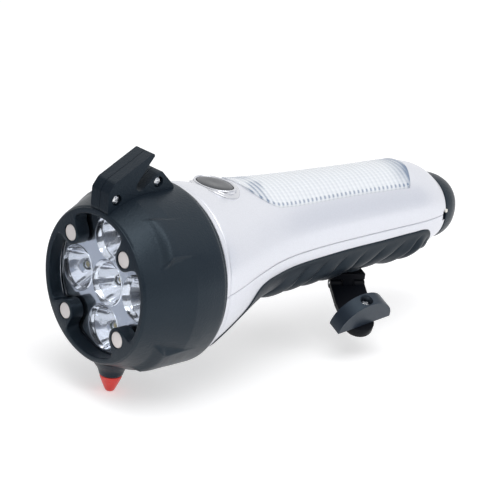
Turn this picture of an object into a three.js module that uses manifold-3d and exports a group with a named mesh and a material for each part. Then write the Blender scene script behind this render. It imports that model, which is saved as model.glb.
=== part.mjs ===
// Hand crank rescue torch: five-lamp head, magnets, belt cutter, hammer, side area lamp and folding crank.
// Millimetres. X runs from the front rim to the tail, Y to the torch's right, Z up.

import * as THREE from 'three';
import { mergeVertices } from 'three/addons/utils/BufferGeometryUtils.js';
import Module from 'manifold-3d';

const wasm = await Module();
wasm.setup();

// Driving dimensions of the whole torch
const headRadius = 41;
const rimDrop = 7;
const bezelLength = 41.9;
const bodyLength = 161.6;
const handleHalfWidth = 20.5;
const handleRise = 33.5;
const wall = 2;
const fit = 0.3;
const overrun = 4;
const rimRadius = headRadius - rimDrop;
const halfTurn = Math.PI;
const quarterTurn = Math.PI / 2;
const axisX = new THREE.Vector3(1, 0, 0);
const axisY = new THREE.Vector3(0, 1, 0);
const axisZ = new THREE.Vector3(0, 0, 1);
const roundSides = 32;
const smallSides = 16;
const fewSides = 8;

// Hammer stud sizes that the bezel's bore shares
const hammerStation = 14;
const studRadius = 1.6;

// Finishes
const satinBlack = { color: 0x23272e, roughness: 0.55, metalness: 0 };
const rubberBlack = { color: 0x2b3036, roughness: 0.7, metalness: 0 };
const pearlSilver = { color: 0xdfe1ea, roughness: 0.35, metalness: 0.25 };
const clearPlastic = { color: 0xe8eef6, roughness: 0.12, metalness: 0 };
const mirrorChrome = { color: 0xd9dce2, roughness: 0.08, metalness: 1 };
const brightSteel = { color: 0xc6c8cc, roughness: 0.3, metalness: 1 };
const magnetNickel = { color: 0xcfc9c0, roughness: 0.4, metalness: 1 };
const signalRed = { color: 0xd8362a, roughness: 0.45, metalness: 0 };
const boardGreen = { color: 0x2d5b3a, roughness: 0.6, metalness: 0 };
const whiteNylon = { color: 0xe9e7df, roughness: 0.6, metalness: 0 };
const copperBrown = { color: 0x9a5a34, roughness: 0.5, metalness: 0.6 };

const torch = new THREE.Group();

// A closed solid from a closed three.js geometry.
function solid(geometry) {
  const bare = geometry.index ? geometry.toNonIndexed() : geometry.clone();
  for (const name of Object.keys(bare.attributes)) {
    if (name !== 'position') bare.deleteAttribute(name);
  }
  const merged = mergeVertices(bare);
  return new wasm.Manifold(new wasm.Mesh({
    numProp: merged.attributes.position.itemSize,
    vertProperties: new Float32Array(merged.attributes.position.array),
    triVerts: new Uint32Array(merged.index.array),
  }));
}

function join(first, ...others) {
  return others.reduce((sum, other) => sum.add(other), first);
}

function cut(first, ...others) {
  return others.reduce((rest, other) => rest.subtract(other), first);
}

// Adds a finished solid to the torch as one named mesh.
function place(name, shape, finish) {
  const mesh = shape.getMesh();
  const geometry = new THREE.BufferGeometry();
  const corners = new Float32Array(mesh.vertProperties);
  geometry.setAttribute('position', new THREE.BufferAttribute(corners, mesh.numProp));
  geometry.setIndex(new THREE.BufferAttribute(new Uint32Array(mesh.triVerts), 1));
  geometry.computeVertexNormals();
  const part = new THREE.Mesh(geometry, new THREE.MeshStandardMaterial(finish));
  part.name = name;
  torch.add(part);
  return part;
}

// A box between two corners.
function block(x0, x1, y0, y1, z0, z1) {
  const geometry = new THREE.BoxGeometry(x1 - x0, y1 - y0, z1 - z0);
  geometry.translate((x0 + x1) / 2, (y0 + y1) / 2, (z0 + z1) / 2);
  return solid(geometry);
}

// A round rod along Z between two heights.
function rod(x, y, z0, z1, radius, sides, topRadius = radius) {
  const geometry = new THREE.CylinderGeometry(topRadius, radius, z1 - z0, sides);
  geometry.rotateX(quarterTurn);
  geometry.translate(x, y, (z0 + z1) / 2);
  return solid(geometry);
}

// A round rod along X between two stations.
function rodAlong(x0, x1, y, z, radius, sides) {
  const geometry = new THREE.CylinderGeometry(radius, radius, x1 - x0, sides);
  geometry.rotateZ(quarterTurn);
  geometry.translate((x0 + x1) / 2, y, z);
  return solid(geometry);
}

// A round rod along Y between two sides.
function rodAcross(x, y0, y1, z, radius, sides) {
  const geometry = new THREE.CylinderGeometry(radius, radius, y1 - y0, sides);
  geometry.translate(x, (y0 + y1) / 2, z);
  return solid(geometry);
}

// A turned solid about an axis along X: the profile holds pairs of radius and station.
function turned(profile, sides, y = 0, z = 0) {
  const points = profile.map(([radius, station]) => new THREE.Vector2(radius, station));
  const geometry = new THREE.LatheGeometry(points, sides);
  geometry.rotateZ(-quarterTurn);
  geometry.translate(0, y, z);
  return solid(geometry);
}

// A turned solid about an axis along Z.
function turnedUp(profile, sides, x, y) {
  const points = profile.map(([radius, height]) => new THREE.Vector2(radius, height));
  const geometry = new THREE.LatheGeometry(points, sides);
  geometry.rotateX(quarterTurn);
  geometry.translate(x, y, 0);
  return solid(geometry);
}

// A flat outline in X and Z carried across Y.
function sideProfile(outline, y0, y1) {
  const geometry = new THREE.ExtrudeGeometry(new THREE.Shape(outline), {
    depth: y1 - y0,
    bevelEnabled: false,
  });
  geometry.rotateX(quarterTurn);
  geometry.translate(0, y1, 0);
  return solid(geometry);
}

// A flat outline in X and Y carried up Z.
function planProfile(outline, z0, z1) {
  const geometry = new THREE.ExtrudeGeometry(new THREE.Shape(outline), {
    depth: z1 - z0,
    bevelEnabled: false,
  });
  geometry.translate(0, 0, z0);
  return solid(geometry);
}

// A closed skin through rings of points: rings along +X turn from +Y towards +Z, rings up +Z from +X to +Y.
function skin(rings) {
  const positions = [];
  const put = (point) => positions.push(point.x, point.y, point.z);
  const centre = (ring) => ring.reduce((sum, p) => sum.add(p), new THREE.Vector3()).divideScalar(ring.length);
  const count = rings[0].length;
  const first = rings[0];
  const last = rings[rings.length - 1];
  const start = centre(first);
  const end = centre(last);
  for (let side = 0; side < count; side++) {
    const next = (side + 1) % count;
    for (let ring = 0; ring + 1 < rings.length; ring++) {
      const a = rings[ring][side];
      const b = rings[ring][next];
      const c = rings[ring + 1][next];
      const d = rings[ring + 1][side];
      [a, b, d, b, c, d].forEach(put);
    }
    [start, first[next], first[side]].forEach(put);
    [end, last[side], last[next]].forEach(put);
  }
  const geometry = new THREE.BufferGeometry();
  geometry.setAttribute('position', new THREE.Float32BufferAttribute(positions, first[0].toArray().length));
  return solid(geometry);
}

// Smooth step from nought to one between two edges.
function ease(value, from, to) {
  return THREE.MathUtils.smoothstep(value, from, to);
}

// A value read from a table of stations by straight lines.
function along(table, station, column) {
  const after = table.findIndex((row) => row[0] >= station);
  if (after < 0) return table[table.length - 1][column];
  if (after === 0) return table[0][column];
  const [low, high] = [table[after - 1], table[after]];
  const share = (station - low[0]) / (high[0] - low[0]);
  return THREE.MathUtils.lerp(low[column], high[column], share);
}

// Bezel: a black moulded ring with raised pads over the magnets and a recess in front of the lamps.
const rimWall = 2.6;
const recessDepth = 6.4;
const seatStep = 1;
const boreRadius = rimRadius - rimWall;
const seatRadius = boreRadius + seatStep;
const innerTubeWall = 2;
const magnetRadius = 3.6;
const magnetLength = 2.8;
const magnetInset = 5.73;
const magnetReach = boreRadius - magnetInset;
const bossWall = 1.6;
const bossRadius = magnetRadius + bossWall;
const padHalfAngle = THREE.MathUtils.degToRad(10.5);
const padFootAngle = THREE.MathUtils.degToRad(15);
// Along the bezel, how far each sector has risen from the rim's radius to the head's radius
const sideRiseShares = [
  [0, 0], [0.02, 0.05], [0.2, 0.37], [0.35, 0.6], [0.57, 0.94], [0.72, 1], [0.91, 1], [0.955, 0.9],
  [0.965, 0.78], [1, 0.77],
];
const padRiseShares = [
  [0, 0], [0.02, 0.05], [0.23, 0.41], [0.355, 1], [0.91, 1], [0.955, 0.9], [0.965, 0.78], [1, 0.77],
];
const crownRiseShares = [
  [0, 0], [0.02, 0.08], [0.12, 0.37], [0.215, 0.61], [0.31, 0.8], [0.48, 0.96], [0.65, 1], [0.91, 1],
  [0.955, 0.9], [0.965, 0.78], [1, 0.77],
];
const bezelStationShares = [0, 0.02, 0.12, 0.22, 0.355, 0.46, 0.6, 0.91, 0.96, 1];
const bezelAngleShares = [0, 0.16, 0.333, 0.39, 0.5, 0.61, 0.667, 0.84];
const quarters = [0, 1, 2, 3];

// The bezel's outer radius at a share of its length and an angle round from +Y towards +Z.
function bezelRadius(share, angle) {
  const withinQuarter = angle - quarterTurn * Math.floor(angle / quarterTurn);
  const fromDiagonal = Math.abs(withinQuarter - quarterTurn / 2);
  const upright = Math.abs(Math.sin(angle)) > Math.abs(Math.cos(angle));
  const sector = upright ? crownRiseShares : sideRiseShares;
  const padWeight = 1 - ease(fromDiagonal, padHalfAngle, padFootAngle);
  const rise = THREE.MathUtils.lerp(along(sector, share, 1), along(padRiseShares, share, 1), padWeight);
  return THREE.MathUtils.lerp(rimRadius, headRadius, rise);
}

// The bezel's outside as a solid, grown by a margin where other pieces are seated on it.
function bezelOutside(margin = 0) {
  const angles = quarters.flatMap((quarter) => bezelAngleShares.map((share) => (quarter + share) * quarterTurn));
  return skin(bezelStationShares.map((share) => angles.map((angle) => {
    const radius = bezelRadius(share, angle) + margin;
    return new THREE.Vector3(share * bezelLength, radius * Math.cos(angle), radius * Math.sin(angle));
  })));
}

// The middle of each magnet, seen from the front.
const magnetPlaces = [[1, 1], [-1, 1], [-1, -1], [1, -1]].map(([side, level]) => [
  side * magnetReach * Math.SQRT1_2,
  level * magnetReach * Math.SQRT1_2,
]);

// A flat outline in Y and Z carried along X.
function facePlate(outline, x0, x1) {
  const geometry = new THREE.ExtrudeGeometry(new THREE.Shape(outline), { depth: x1 - x0, bevelEnabled: false });
  geometry.applyMatrix4(new THREE.Matrix4().makeBasis(axisY, axisZ, axisX));
  geometry.translate(x0, 0, 0);
  return solid(geometry);
}

// The filleted web that joins a magnet boss to the rim: share of the way out to the bore, share of the boss.
const webOutlineShares = [[-0.224, 0.98], [0.358, 1.08], [0.761, 1.4], [1.052, 2.05]];

function magnetBoss([y, z]) {
  const [outY, outZ] = [y / magnetReach, z / magnetReach];
  const corner = ([outShare, widthShare], side) => {
    const [out, aside] = [magnetReach + outShare * magnetInset, side * widthShare * bossRadius];
    return new THREE.Vector2(out * outY - aside * outZ, out * outZ + aside * outY);
  };
  const leftSide = webOutlineShares.map((row) => corner(row, -1));
  const rightSide = webOutlineShares.map((row) => corner(row, 1)).reverse();
  const web = facePlate([...leftSide, ...rightSide], 0, recessDepth);
  return rodAlong(0, recessDepth, y, z, bossRadius, smallSides).add(web);
}

// The hollow between the bezel's skin and its inner tube, open to the rear.
const pocketShares = [[0.43, 0.3], [0.57, 0.58], [0.9, 0.6], [1, 0.5]];
const pocketMouthShare = pocketShares[pocketShares.length - 1][1];
const pocketMouthRadius = THREE.MathUtils.lerp(rimRadius, headRadius, pocketMouthShare);
const tubeRadius = seatRadius + innerTubeWall;
const studWeb = 1.2;
const studTop = seatRadius + studWeb;

function bezelPocket() {
  const outer = pocketShares.map(([share, rise]) => [
    THREE.MathUtils.lerp(rimRadius, headRadius, rise),
    share * bezelLength,
  ]);
  const frontStation = outer[0][1];
  const mouth = bezelLength + overrun;
  return turned([
    [tubeRadius, frontStation], ...outer, [pocketMouthRadius, mouth], [tubeRadius, mouth], [tubeRadius, frontStation],
  ], roundSides);
}

function bezel() {
  const frontBore = rodAlong(-overrun, bezelLength / 2, 0, 0, boreRadius, roundSides);
  const rearBore = rodAlong(recessDepth, bezelLength + overrun, 0, 0, seatRadius, roundSides);
  const bored = cut(bezelOutside(), frontBore, rearBore, bezelPocket());
  const bossed = join(bored, ...magnetPlaces.map((spot) => magnetBoss(spot)));
  const pockets = magnetPlaces.map(([y, z]) => {
    return rodAlong(-overrun, magnetLength + 2 * fit, y, z, magnetRadius + fit, smallSides);
  });
  return cut(bossed, ...pockets, rod(hammerStation, 0, -headRadius - overrun, -studTop - fit, studRadius + fit, fewSides));
}

place('bezel', bezel(), satinBlack);
magnetPlaces.forEach(([y, z], index) => {
  place(`magnet_${index + 1}`, rodAlong(fit, fit + magnetLength, y, z, magnetRadius, smallSides), magnetNickel);
});

// Front lens, five-cup reflector, lamps and lamp board, stacked behind the recess.
const lensThickness = 1.2;
const reflectorPlate = 1.2;
const cupsAcross = 3;
const cupEdge = 1.7;
const cupGap = 0.4;
const cupDepth = 12;
const cupWall = 0.9;
const lampRadius = 2.5;
const lampFlange = 0.5;
const lampLength = 8.6;
const boardThickness = 1.6;
const ringLength = 4;
const ringWall = 3;
const cupSteps = 4;
const cupBackSteps = 2;
const cupSides = 14;
const noseSteps = 2;
const lensFront = recessDepth + fit;
const stackRadius = seatRadius - fit;
const cupRadius = (stackRadius - cupEdge - cupGap) / cupsAcross;
const cupPitch = 2 * cupRadius + cupGap;
const reflectorFront = lensFront + lensThickness + fit;
const boardFront = reflectorFront + cupDepth + lampFlange + 2 * fit;
const ringFront = boardFront + boardThickness + fit;
const cupPlaces = [[0, 0], [1, 0], [0, 1], [-1, 0], [0, -1]].map(([side, level]) => [side * cupPitch, level * cupPitch]);

// A paraboloid cup opening towards the front, its mouth run forward by a lip.
function cupForm(mouthRadius, depth, lip, steps, [y, z]) {
  const bowl = Array.from({ length: steps + 1 }, (unused, step) => {
    const radius = mouthRadius * (1 - step / steps);
    return [radius, reflectorFront + depth * (1 - (radius / mouthRadius) ** 2)];
  });
  return turned([[0, reflectorFront - lip], [mouthRadius, reflectorFront - lip], ...bowl], cupSides, y, z);
}

function reflector() {
  const plate = rodAlong(reflectorFront, reflectorFront + reflectorPlate, 0, 0, stackRadius, roundSides);
  const outsides = cupPlaces.map((spot) => cupForm(cupRadius + cupWall, cupDepth + cupWall, 0, cupBackSteps, spot));
  const envelope = rodAlong(reflectorFront, boardFront - fit, 0, 0, stackRadius, roundSides);
  const trimmed = join(plate, ...outsides).intersect(envelope);
  const insides = cupPlaces.map((spot) => cupForm(cupRadius, cupDepth, overrun, cupSteps, spot));
  const holes = cupPlaces.map(([y, z]) => rodAlong(reflectorFront, boardFront, y, z, lampRadius + fit, fewSides));
  return cut(trimmed, ...insides, ...holes);
}

// A clear lamp with a round nose, standing on the lamp board.
function headLamp([y, z]) {
  const foot = boardFront - fit;
  const shoulder = foot - lampLength + lampRadius;
  const nose = Array.from({ length: noseSteps }, (unused, step) => {
    const turn = quarterTurn * step / noseSteps;
    return [lampRadius * Math.sin(turn), shoulder - lampRadius * Math.cos(turn)];
  });
  const flangeFront = foot - lampFlange;
  const flangeRadius = lampRadius + lampFlange;
  return turned([
    ...nose, [lampRadius, shoulder], [lampRadius, flangeFront], [flangeRadius, flangeFront], [flangeRadius, foot], [0, foot],
  ], fewSides, y, z);
}

function retainingRing() {
  const outer = rodAlong(ringFront, ringFront + ringLength, 0, 0, stackRadius, roundSides);
  return cut(outer, rodAlong(0, bezelLength, 0, 0, stackRadius - ringWall, roundSides));
}

place('front_lens', rodAlong(lensFront, lensFront + lensThickness, 0, 0, stackRadius, roundSides), clearPlastic);
place('reflector', reflector(), mirrorChrome);
cupPlaces.forEach((spot, index) => place(`head_lamp_${index + 1}`, headLamp(spot), clearPlastic));
place('lamp_board', rodAlong(boardFront, boardFront + boardThickness, 0, 0, stackRadius, roundSides), boardGreen);
place('lamp_ring', retainingRing(), whiteNylon);

// Window hammer under the head: a cone foot, a steel point on a stud and a pull-off red cap.
const footRootRadius = 8.8;
const footNeckRadius = 5.2;
const footDrop = 3;
const pointRadius = 2.4;
const pointShoulder = 3.4;
const pointTip = 0.4;
const coneLength = 3.2;
const capRadius = 4.95;
const capTipRadius = 1.7;
const capLength = 7.8;
const capRim = 1.4;
const capRoof = 2;
const footEnd = -headRadius - footDrop;
const capBottom = footEnd - fit - capLength;
// The cap's outside, as shares of its length from the tip and shares of its radius
const capShares = [[0.06, 0.55], [0.3, 0.78], [0.6, 0.95], [0.8, 1]];

function hammerFoot() {
  const cone = rod(hammerStation, 0, footEnd, -rimRadius, footNeckRadius, smallSides, footRootRadius);
  const bore = rod(hammerStation, 0, footEnd - overrun, -rimRadius + overrun, pointRadius + fit, fewSides);
  return cut(cone, bezelOutside(fit), bore);
}

function hammerPoint() {
  const shoulder = footEnd + pointShoulder;
  const tip = capBottom + capRoof + fit;
  return turnedUp([
    [0, tip], [pointTip, tip], [pointRadius, tip + coneLength], [pointRadius, shoulder], [studRadius, shoulder],
    [studRadius, -studTop - 2 * fit], [0, -studTop - 2 * fit],
  ], fewSides, hammerStation, 0);
}

function hammerCap() {
  const mouth = footEnd - fit;
  const inner = capRadius - capRim;
  const roof = capBottom + capRoof;
  const outside = capShares.map(([lengthShare, widthShare]) => [widthShare * capRadius, capBottom + lengthShare * capLength]);
  return turnedUp([
    [0, capBottom], [capTipRadius, capBottom], ...outside, [capRadius, mouth], [inner, mouth],
    [inner, roof + coneLength], [capTipRadius, roof], [0, roof],
  ], smallSides, hammerStation, 0);
}

place('hammer_foot', hammerFoot(), satinBlack);
place('hammer_point', hammerPoint(), brightSteel);
place('hammer_cap', hammerCap(), signalRed);

// Belt cutter on top of the head: two moulded halves round a blade, with a hooked slot.
const cutterLength = 35.5;
const cutterHeight = 17.1;
const cutterHalfWidth = 5.8;
const bladeThickness = 0.5;
const cutterScrewHead = 2.2;
const cutterScrewHeadDepth = 1.2;
const cutterScrewRadius = 1.1;
const cutterScrewRecess = 0.6;
// Outlines as shares of the cutter's length and of its height above the head
const cutterShares = [
  [0, -0.7], [0, 0.146], [0.082, 0.386], [0.637, 1], [0.665, 0.936], [0.586, 0.725], [0.428, 0.292], [0.408, 0.211],
  [0.424, 0.103], [0.468, 0.058], [0.515, 0.094], [0.735, 0.462], [0.789, 0.503], [1, 0.047], [0.99, -0.117], [0.99, -0.7],
];
const bladeShares = [[0.411, 0.474], [0.592, 0.123], [0.544, 0.05], [0.451, 0.047], [0.349, 0.339]];
const cutterScrewShares = [[0.13, -0.07], [0.75, 0.222]];

const cutterPoint = ([x, z]) => new THREE.Vector2(x * cutterLength, headRadius + z * cutterHeight);
const cutterScrewPlaces = cutterScrewShares.map((share) => cutterPoint(share));

// One half, on the side given by -1 or 1, hollowed for the blade and the screws.
function cutterHalf(side) {
  const [from, to] = [fit / 2, cutterHalfWidth].map((reach) => side * reach).sort((low, high) => low - high);
  const shell = cut(sideProfile(cutterShares.map((share) => cutterPoint(share)), from, to), bezelOutside(fit));
  const bladeRoom = bladeThickness / 2 + fit;
  const bladePocket = sideProfile(grown(bladeShares.map((share) => cutterPoint(share)), fit), -bladeRoom, bladeRoom);
  const recessFloor = cutterHalfWidth - cutterScrewRecess - cutterScrewHeadDepth - fit;
  const headRoom = cutterScrewPlaces.map(({ x, y: z }) => {
    return rodAcross(x, -cutterHalfWidth - overrun, -recessFloor, z, cutterScrewHead + fit, smallSides);
  });
  const shankRoom = cutterScrewPlaces.map(({ x, y: z }) => {
    return rodAcross(x, -cutterHalfWidth, cutterHalfWidth - wall, z, cutterScrewRadius + fit, fewSides);
  });
  return cut(shell, bladePocket, ...headRoom, ...shankRoom);
}

// An outline pushed out by a margin at every corner.
function grown(outline, margin) {
  const centre = outline.reduce((sum, p) => sum.add(p), new THREE.Vector2()).divideScalar(outline.length);
  return outline.map((p) => {
    const out = p.clone().sub(centre);
    return centre.clone().add(out.multiplyScalar((out.length() + 2 * margin) / out.length()));
  });
}

function cutterScrew({ x, y: z }) {
  const headOut = -cutterHalfWidth + cutterScrewRecess;
  const headIn = headOut + cutterScrewHeadDepth;
  const slot = block(
    x - cutterScrewHead, x + cutterScrewHead, headOut - overrun, headOut + cutterScrewHeadDepth / 2, z - fit, z + fit,
  );
  const head = rodAcross(x, headOut, headIn, z, cutterScrewHead, smallSides);
  const shankStart = headIn - cutterScrewHeadDepth / 4;
  const shank = rodAcross(x, shankStart, cutterHalfWidth - wall - fit, z, cutterScrewRadius, fewSides);
  return cut(join(head, shank), slot);
}

place('cutter_housing_left', cutterHalf(-1), satinBlack);
place('cutter_housing_right', cutterHalf(1), satinBlack);
place(
  'cutter_blade',
  sideProfile(bladeShares.map((share) => cutterPoint(share)), -bladeThickness / 2, bladeThickness / 2),
  brightSteel,
);
cutterScrewPlaces.forEach((spot, index) => place(`cutter_screw_${index + 1}`, cutterScrew(spot), brightSteel));

// Handle body: an egg-shaped tube that narrows from the head to the tail, split along its sides.
const bodyFront = bezelLength + fit;
const bodyRear = bodyFront + bodyLength;
const neckReach = 5.5;
const neckFlange = 2;
const bodyRoundness = 2.15;
const bodySides = 28;
const hollowSides = 16;
const hollowEvery = 2;
const neckShare = 0.9415;
// Share of the body's length; the handle's top, bottom and widest height as shares of its rise; its half width
// as a share of the handle's; share of the way out to the neck's radius, for the underside on its own
const bodyShares = [
  [0, 0.9089, -0.5, 0, 1.0878, 1, 1],
  [0.0483, 0.9089, -0.5, -0.0149, 1.0878, 0.914, 0.767],
  [0.11, 0.8743, -0.5, -0.0149, 1.0878, 0.742, 0.469],
  [0.172, 0.9485, -0.5, 0, 1.0878, 0.546, 0.19],
  [0.2153, 0.985, -0.5, 0.0239, 1.0878, 0.411, 0.063],
  [0.2525, 0.9942, -0.5, 0.0417, 1.0878, 0.301, 0.018],
  [0.2834, 1.0001, -0.501, 0.0597, 1.0878, 0.215, 0],
  [0.3329, 1.0023, -0.507, 0.0807, 1.0878, 0.104, 0],
  [0.4072, 1, -0.5074, 0.1045, 1.0878, 0, 0],
  [0.4938, 0.982, -0.5074, 0.1224, 1.0341, 0, 0],
  [0.6052, 0.9552, -0.5074, 0.1463, 1.0049, 0, 0],
  [0.729, 0.9283, -0.4955, 0.1582, 0.9902, 0, 0],
  [0.828, 0.9104, -0.4836, 0.1641, 0.9805, 0, 0],
  [0.9022, 0.8716, -0.4537, 0.1672, 0.961, 0, 0],
  [0.9579, 0.8119, -0.406, 0.1672, 0.922, 0, 0],
  [1, 0.7343, -0.3522, 0.1672, 0.8732, 0, 0],
];
// Seam on the side of the body: share of the body's length and height as a share of the handle's rise
const seamShares = [
  [-0.1, -0.2325], [0, -0.1958], [0.08, -0.1199], [0.234, -0.0147], [0.481, 0.104], [0.667, 0.1554], [1.1, 0.1616],
];

// The body's section at a station: how far it reaches up, down and sideways, and how high it is widest.
function bodySection(station) {
  const share = (station - bodyFront) / bodyLength;
  const neckRadius = neckShare * headRadius;
  const neckWeight = along(bodyShares, share, 5);
  const underWeight = along(bodyShares, share, 6);
  const outward = (size, radius, weight = neckWeight) => THREE.MathUtils.lerp(size, radius, weight);
  const top = outward(along(bodyShares, share, 1) * handleRise, neckRadius);
  const bottom = outward(along(bodyShares, share, 2) * handleRise, -neckRadius, underWeight);
  const widest = along(bodyShares, share, 3) * handleRise;
  const halfWidth = outward(along(bodyShares, share, 4) * handleHalfWidth, neckRadius);
  return { top, bottom, widest, halfWidth };
}

// A point of the body's surface at a station and a turn from +Y towards +Z, moved out by a margin.
function bodyPoint(station, turn, margin) {
  const { top, bottom, widest, halfWidth } = bodySection(station);
  const [across, up] = [Math.cos(turn), Math.sin(turn)];
  const reach = (up > 0 ? top - widest : widest - bottom) + margin;
  const y = Math.sign(across) * (halfWidth + margin) * Math.abs(across) ** (2 / bodyRoundness);
  const z = widest + Math.sign(up) * reach * Math.abs(up) ** (2 / bodyRoundness);
  return new THREE.Vector3(station, y, z);
}

const turnsOf = (sides) => Array.from({ length: sides }, (unused, side) => 2 * halfTurn * side / sides);
const bodyTurns = turnsOf(bodySides);

// The whole body as one solid, moved out by a margin, and run on past both ends by an extension.
function bodySolid(margin, extension = 0, turns = bodyTurns, everyStation = 1) {
  const ringAt = (station, shift) => turns.map((turn) => {
    return bodyPoint(station, turn, margin).add(new THREE.Vector3(shift, 0, 0));
  });
  const rows = bodyShares.filter((unused, index) => index % everyStation === 0 || index === bodyShares.length - 1);
  const rings = rows.map(([share]) => ringAt(bodyFront + share * bodyLength, 0));
  if (extension === 0) return skin(rings);
  return skin([ringAt(bodyFront, -extension), ...rings, ringAt(bodyRear, extension)]);
}

// Everything on one side of the seam: 1 above it, -1 below it.
function seamSide(side) {
  const far = 2 * headRadius;
  const line = seamShares.map(([share, level]) => {
    return new THREE.Vector2(bodyFront + share * bodyLength, level * handleRise + side * fit / 2);
  });
  const first = new THREE.Vector2(line[0].x, side * far);
  const last = new THREE.Vector2(line[line.length - 1].x, side * far);
  return sideProfile([first, ...line, last], -far, far);
}

// The hollow tube of the body with the ring that seats in the bezel's rear.
function bodyTube() {
  const neckInner = tubeRadius + fit;
  const neckOuter = pocketMouthRadius - fit;
  const neck = turned([
    [neckInner, bezelLength - neckReach], [neckOuter, bezelLength - neckReach], [neckOuter, bodyFront],
    [neckShare * headRadius - fit, bodyFront], [neckShare * headRadius - fit, bodyFront + neckFlange],
    [neckInner, bodyFront + neckFlange], [neckInner, bezelLength - neckReach],
  ], roundSides);
  return cut(bodySolid(0), hollowSolid(0)).add(neck);
}

// What fills the body's hollow when its walls are moved in by a margin.
function hollowSolid(margin) {
  return bodySolid(-wall - margin, overrun, turnsOf(hollowSides), hollowEvery);
}

// Window and seat of the area lens, an outline with a round front end, as seen from above.
const lensMargin = 5.3;
const lensFrontInset = 35.3;
const lensRearInset = 17.8;
const areaHalfWidth = handleHalfWidth - lensMargin;
const areaFront = bodyFront + lensFrontInset;
const areaRear = bodyRear - lensRearInset;
const lensProud = 0.7;
const lensSink = 0.9;
const lensLedge = 2.5;
const areaEndSteps = 6;
const rearCornerShare = 0.3;

function areaOutline(margin) {
  const half = areaHalfWidth + margin;
  const bend = areaFront + areaHalfWidth;
  const frontArc = Array.from({ length: areaEndSteps + 1 }, (unused, step) => {
    const turn = quarterTurn + halfTurn * step / areaEndSteps;
    return new THREE.Vector2(bend + half * Math.cos(turn), half * Math.sin(turn));
  });
  const cornerCut = areaHalfWidth * rearCornerShare;
  return [
    ...frontArc,
    new THREE.Vector2(areaRear - cornerCut, -half),
    new THREE.Vector2(areaRear + margin, cornerCut - half),
    new THREE.Vector2(areaRear + margin, half - cornerCut),
    new THREE.Vector2(areaRear - cornerCut, half),
  ];
}

// Sizes that the shells share with the pieces they hold
const buttonInset = 22.3;
const buttonLength = 12;
const buttonWidth = 20;
const collarRim = 2.6;
const ovalSides = 20;
const buttonStation = bodyFront + buttonInset;
const collarProud = 0.5;
const collarHeight = 7.3;
const collarTop = bodySection(buttonStation).top + collarProud;
const collarBottom = collarTop - collarHeight;
const screwShank = 1.25;
const screwHead = 2.4;
const screwHeadDepth = 1.6;
const screwBossWall = 1.6;
const screwLength = 16;
const crankInset = 50.2;
const crankShaft = 3.5;
const bushWall = 1.8;
const bushReach = 1.65;
const bushLength = 12.4;
const hubPadRadius = 8.2;
const crankStation = bodyRear - crankInset;
const crankSeat = -handleRise / 2;
const bushRadius = crankShaft + fit + bushWall;
const bushBottom = crankSeat - bushReach;
const bushTop = bushBottom + bushLength;
const gripHole = hubPadRadius + fit;

// Gear train sizes: the widest gear fills the handle, and its teeth set the stations of the others
const gearRoom = 4.1;
const gearSlack = 0.2;
const gearLift = 3;
const gearThickness = 3.5;
const largeGearThickness = 3;
const crankTeeth = 36;
const idlerSmallTeeth = 12;
const idlerLargeTeeth = 32;
const rotorTeeth = 10;
const gearModule = 2 * (handleHalfWidth - wall - gearRoom) / crankTeeth;
const idlerStation = crankStation - gearModule * (crankTeeth + idlerSmallTeeth) / 2 - gearSlack;
const generatorStation = idlerStation - gearModule * (idlerLargeTeeth + rotorTeeth) / 2 - gearSlack;
const gearBottom = bushTop + gearLift;
const largeGearBottom = gearBottom + gearThickness + 2 * fit;
const idlerPinRadius = 1.25;
const idlerPinReach = 9;
const idlerBossWall = 1.7;
const idlerPinBottom = gearBottom - idlerPinReach;

// Generator can and the frame plate that carries it
const canRoom = 4;
const canWall = 1.2;
const frameInset = 0.5;
const frameLip = 2.7;
const frameTail = 21.4;
const frameThickness = 1.6;
const frameScrewInset = 3.5;
const framePost = 2.2;
const canRadius = handleHalfWidth - wall - canRoom;
const frameFront = generatorStation - canRadius - frameLip;
const frameRear = crankStation + frameTail;
const frameHalfWidth = canRadius - frameInset;
const frameBottom = largeGearBottom + largeGearThickness + 2 * fit;
const frontScrewLead = 6;
const frontScrewMargin = 5.5;
const rearScrewInset = 13.8;
const rearScrewMargin = 11.5;
const frontScrewStation = frameFront - frontScrewLead;
const frontScrewSide = handleHalfWidth - frontScrewMargin;
const rearScrewStation = bodyRear - rearScrewInset;
const rearScrewSide = handleHalfWidth - rearScrewMargin;

// Lamp and control boards, and the strap window
const areaBoardFrontInset = 21.5;
const areaBoardRearInset = 10;
const areaBoardMargin = 3.2;
const areaBoardDrop = 11.5;
const areaBoardThickness = 1.2;
const areaBoardFront = areaFront + areaBoardFrontInset;
const areaBoardRear = areaRear - areaBoardRearInset;
const areaBoardHalfWidth = areaHalfWidth - areaBoardMargin;
const areaBoardBottom = handleRise - areaBoardDrop;
const shelfLength = 4;
const shelfThickness = 1.4;
const shelfGrip = 3;
const controlLead = 12.5;
const controlTail = 6;
const controlHalfWidth = 10;
const controlDrop = 8;
const controlInset = 3;
const controlFront = buttonStation - controlLead;
const controlRear = areaFront + controlTail;
const controlBottom = collarBottom - controlDrop;
const strapInset = 2.8;
const strapLength = 3.4;
const strapHeight = 3.8;
const strapStation = bodyRear - strapInset;

const caseScrewPlaces = [-1, 1].flatMap((side) => [
  [frontScrewStation, side * frontScrewSide],
  [rearScrewStation, side * rearScrewSide],
]);
const framePostPlaces = [frameFront + frameScrewInset, frameRear - frameScrewInset].flatMap((x) => [
  [x, -(frameHalfWidth - frameScrewInset)],
  [x, frameHalfWidth - frameScrewInset],
]);

// The seam's height at a station.
function seamLevel(station) {
  return along(seamShares, (station - bodyFront) / bodyLength, 1) * handleRise;
}

const strapLevel = seamLevel(strapStation);

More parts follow.
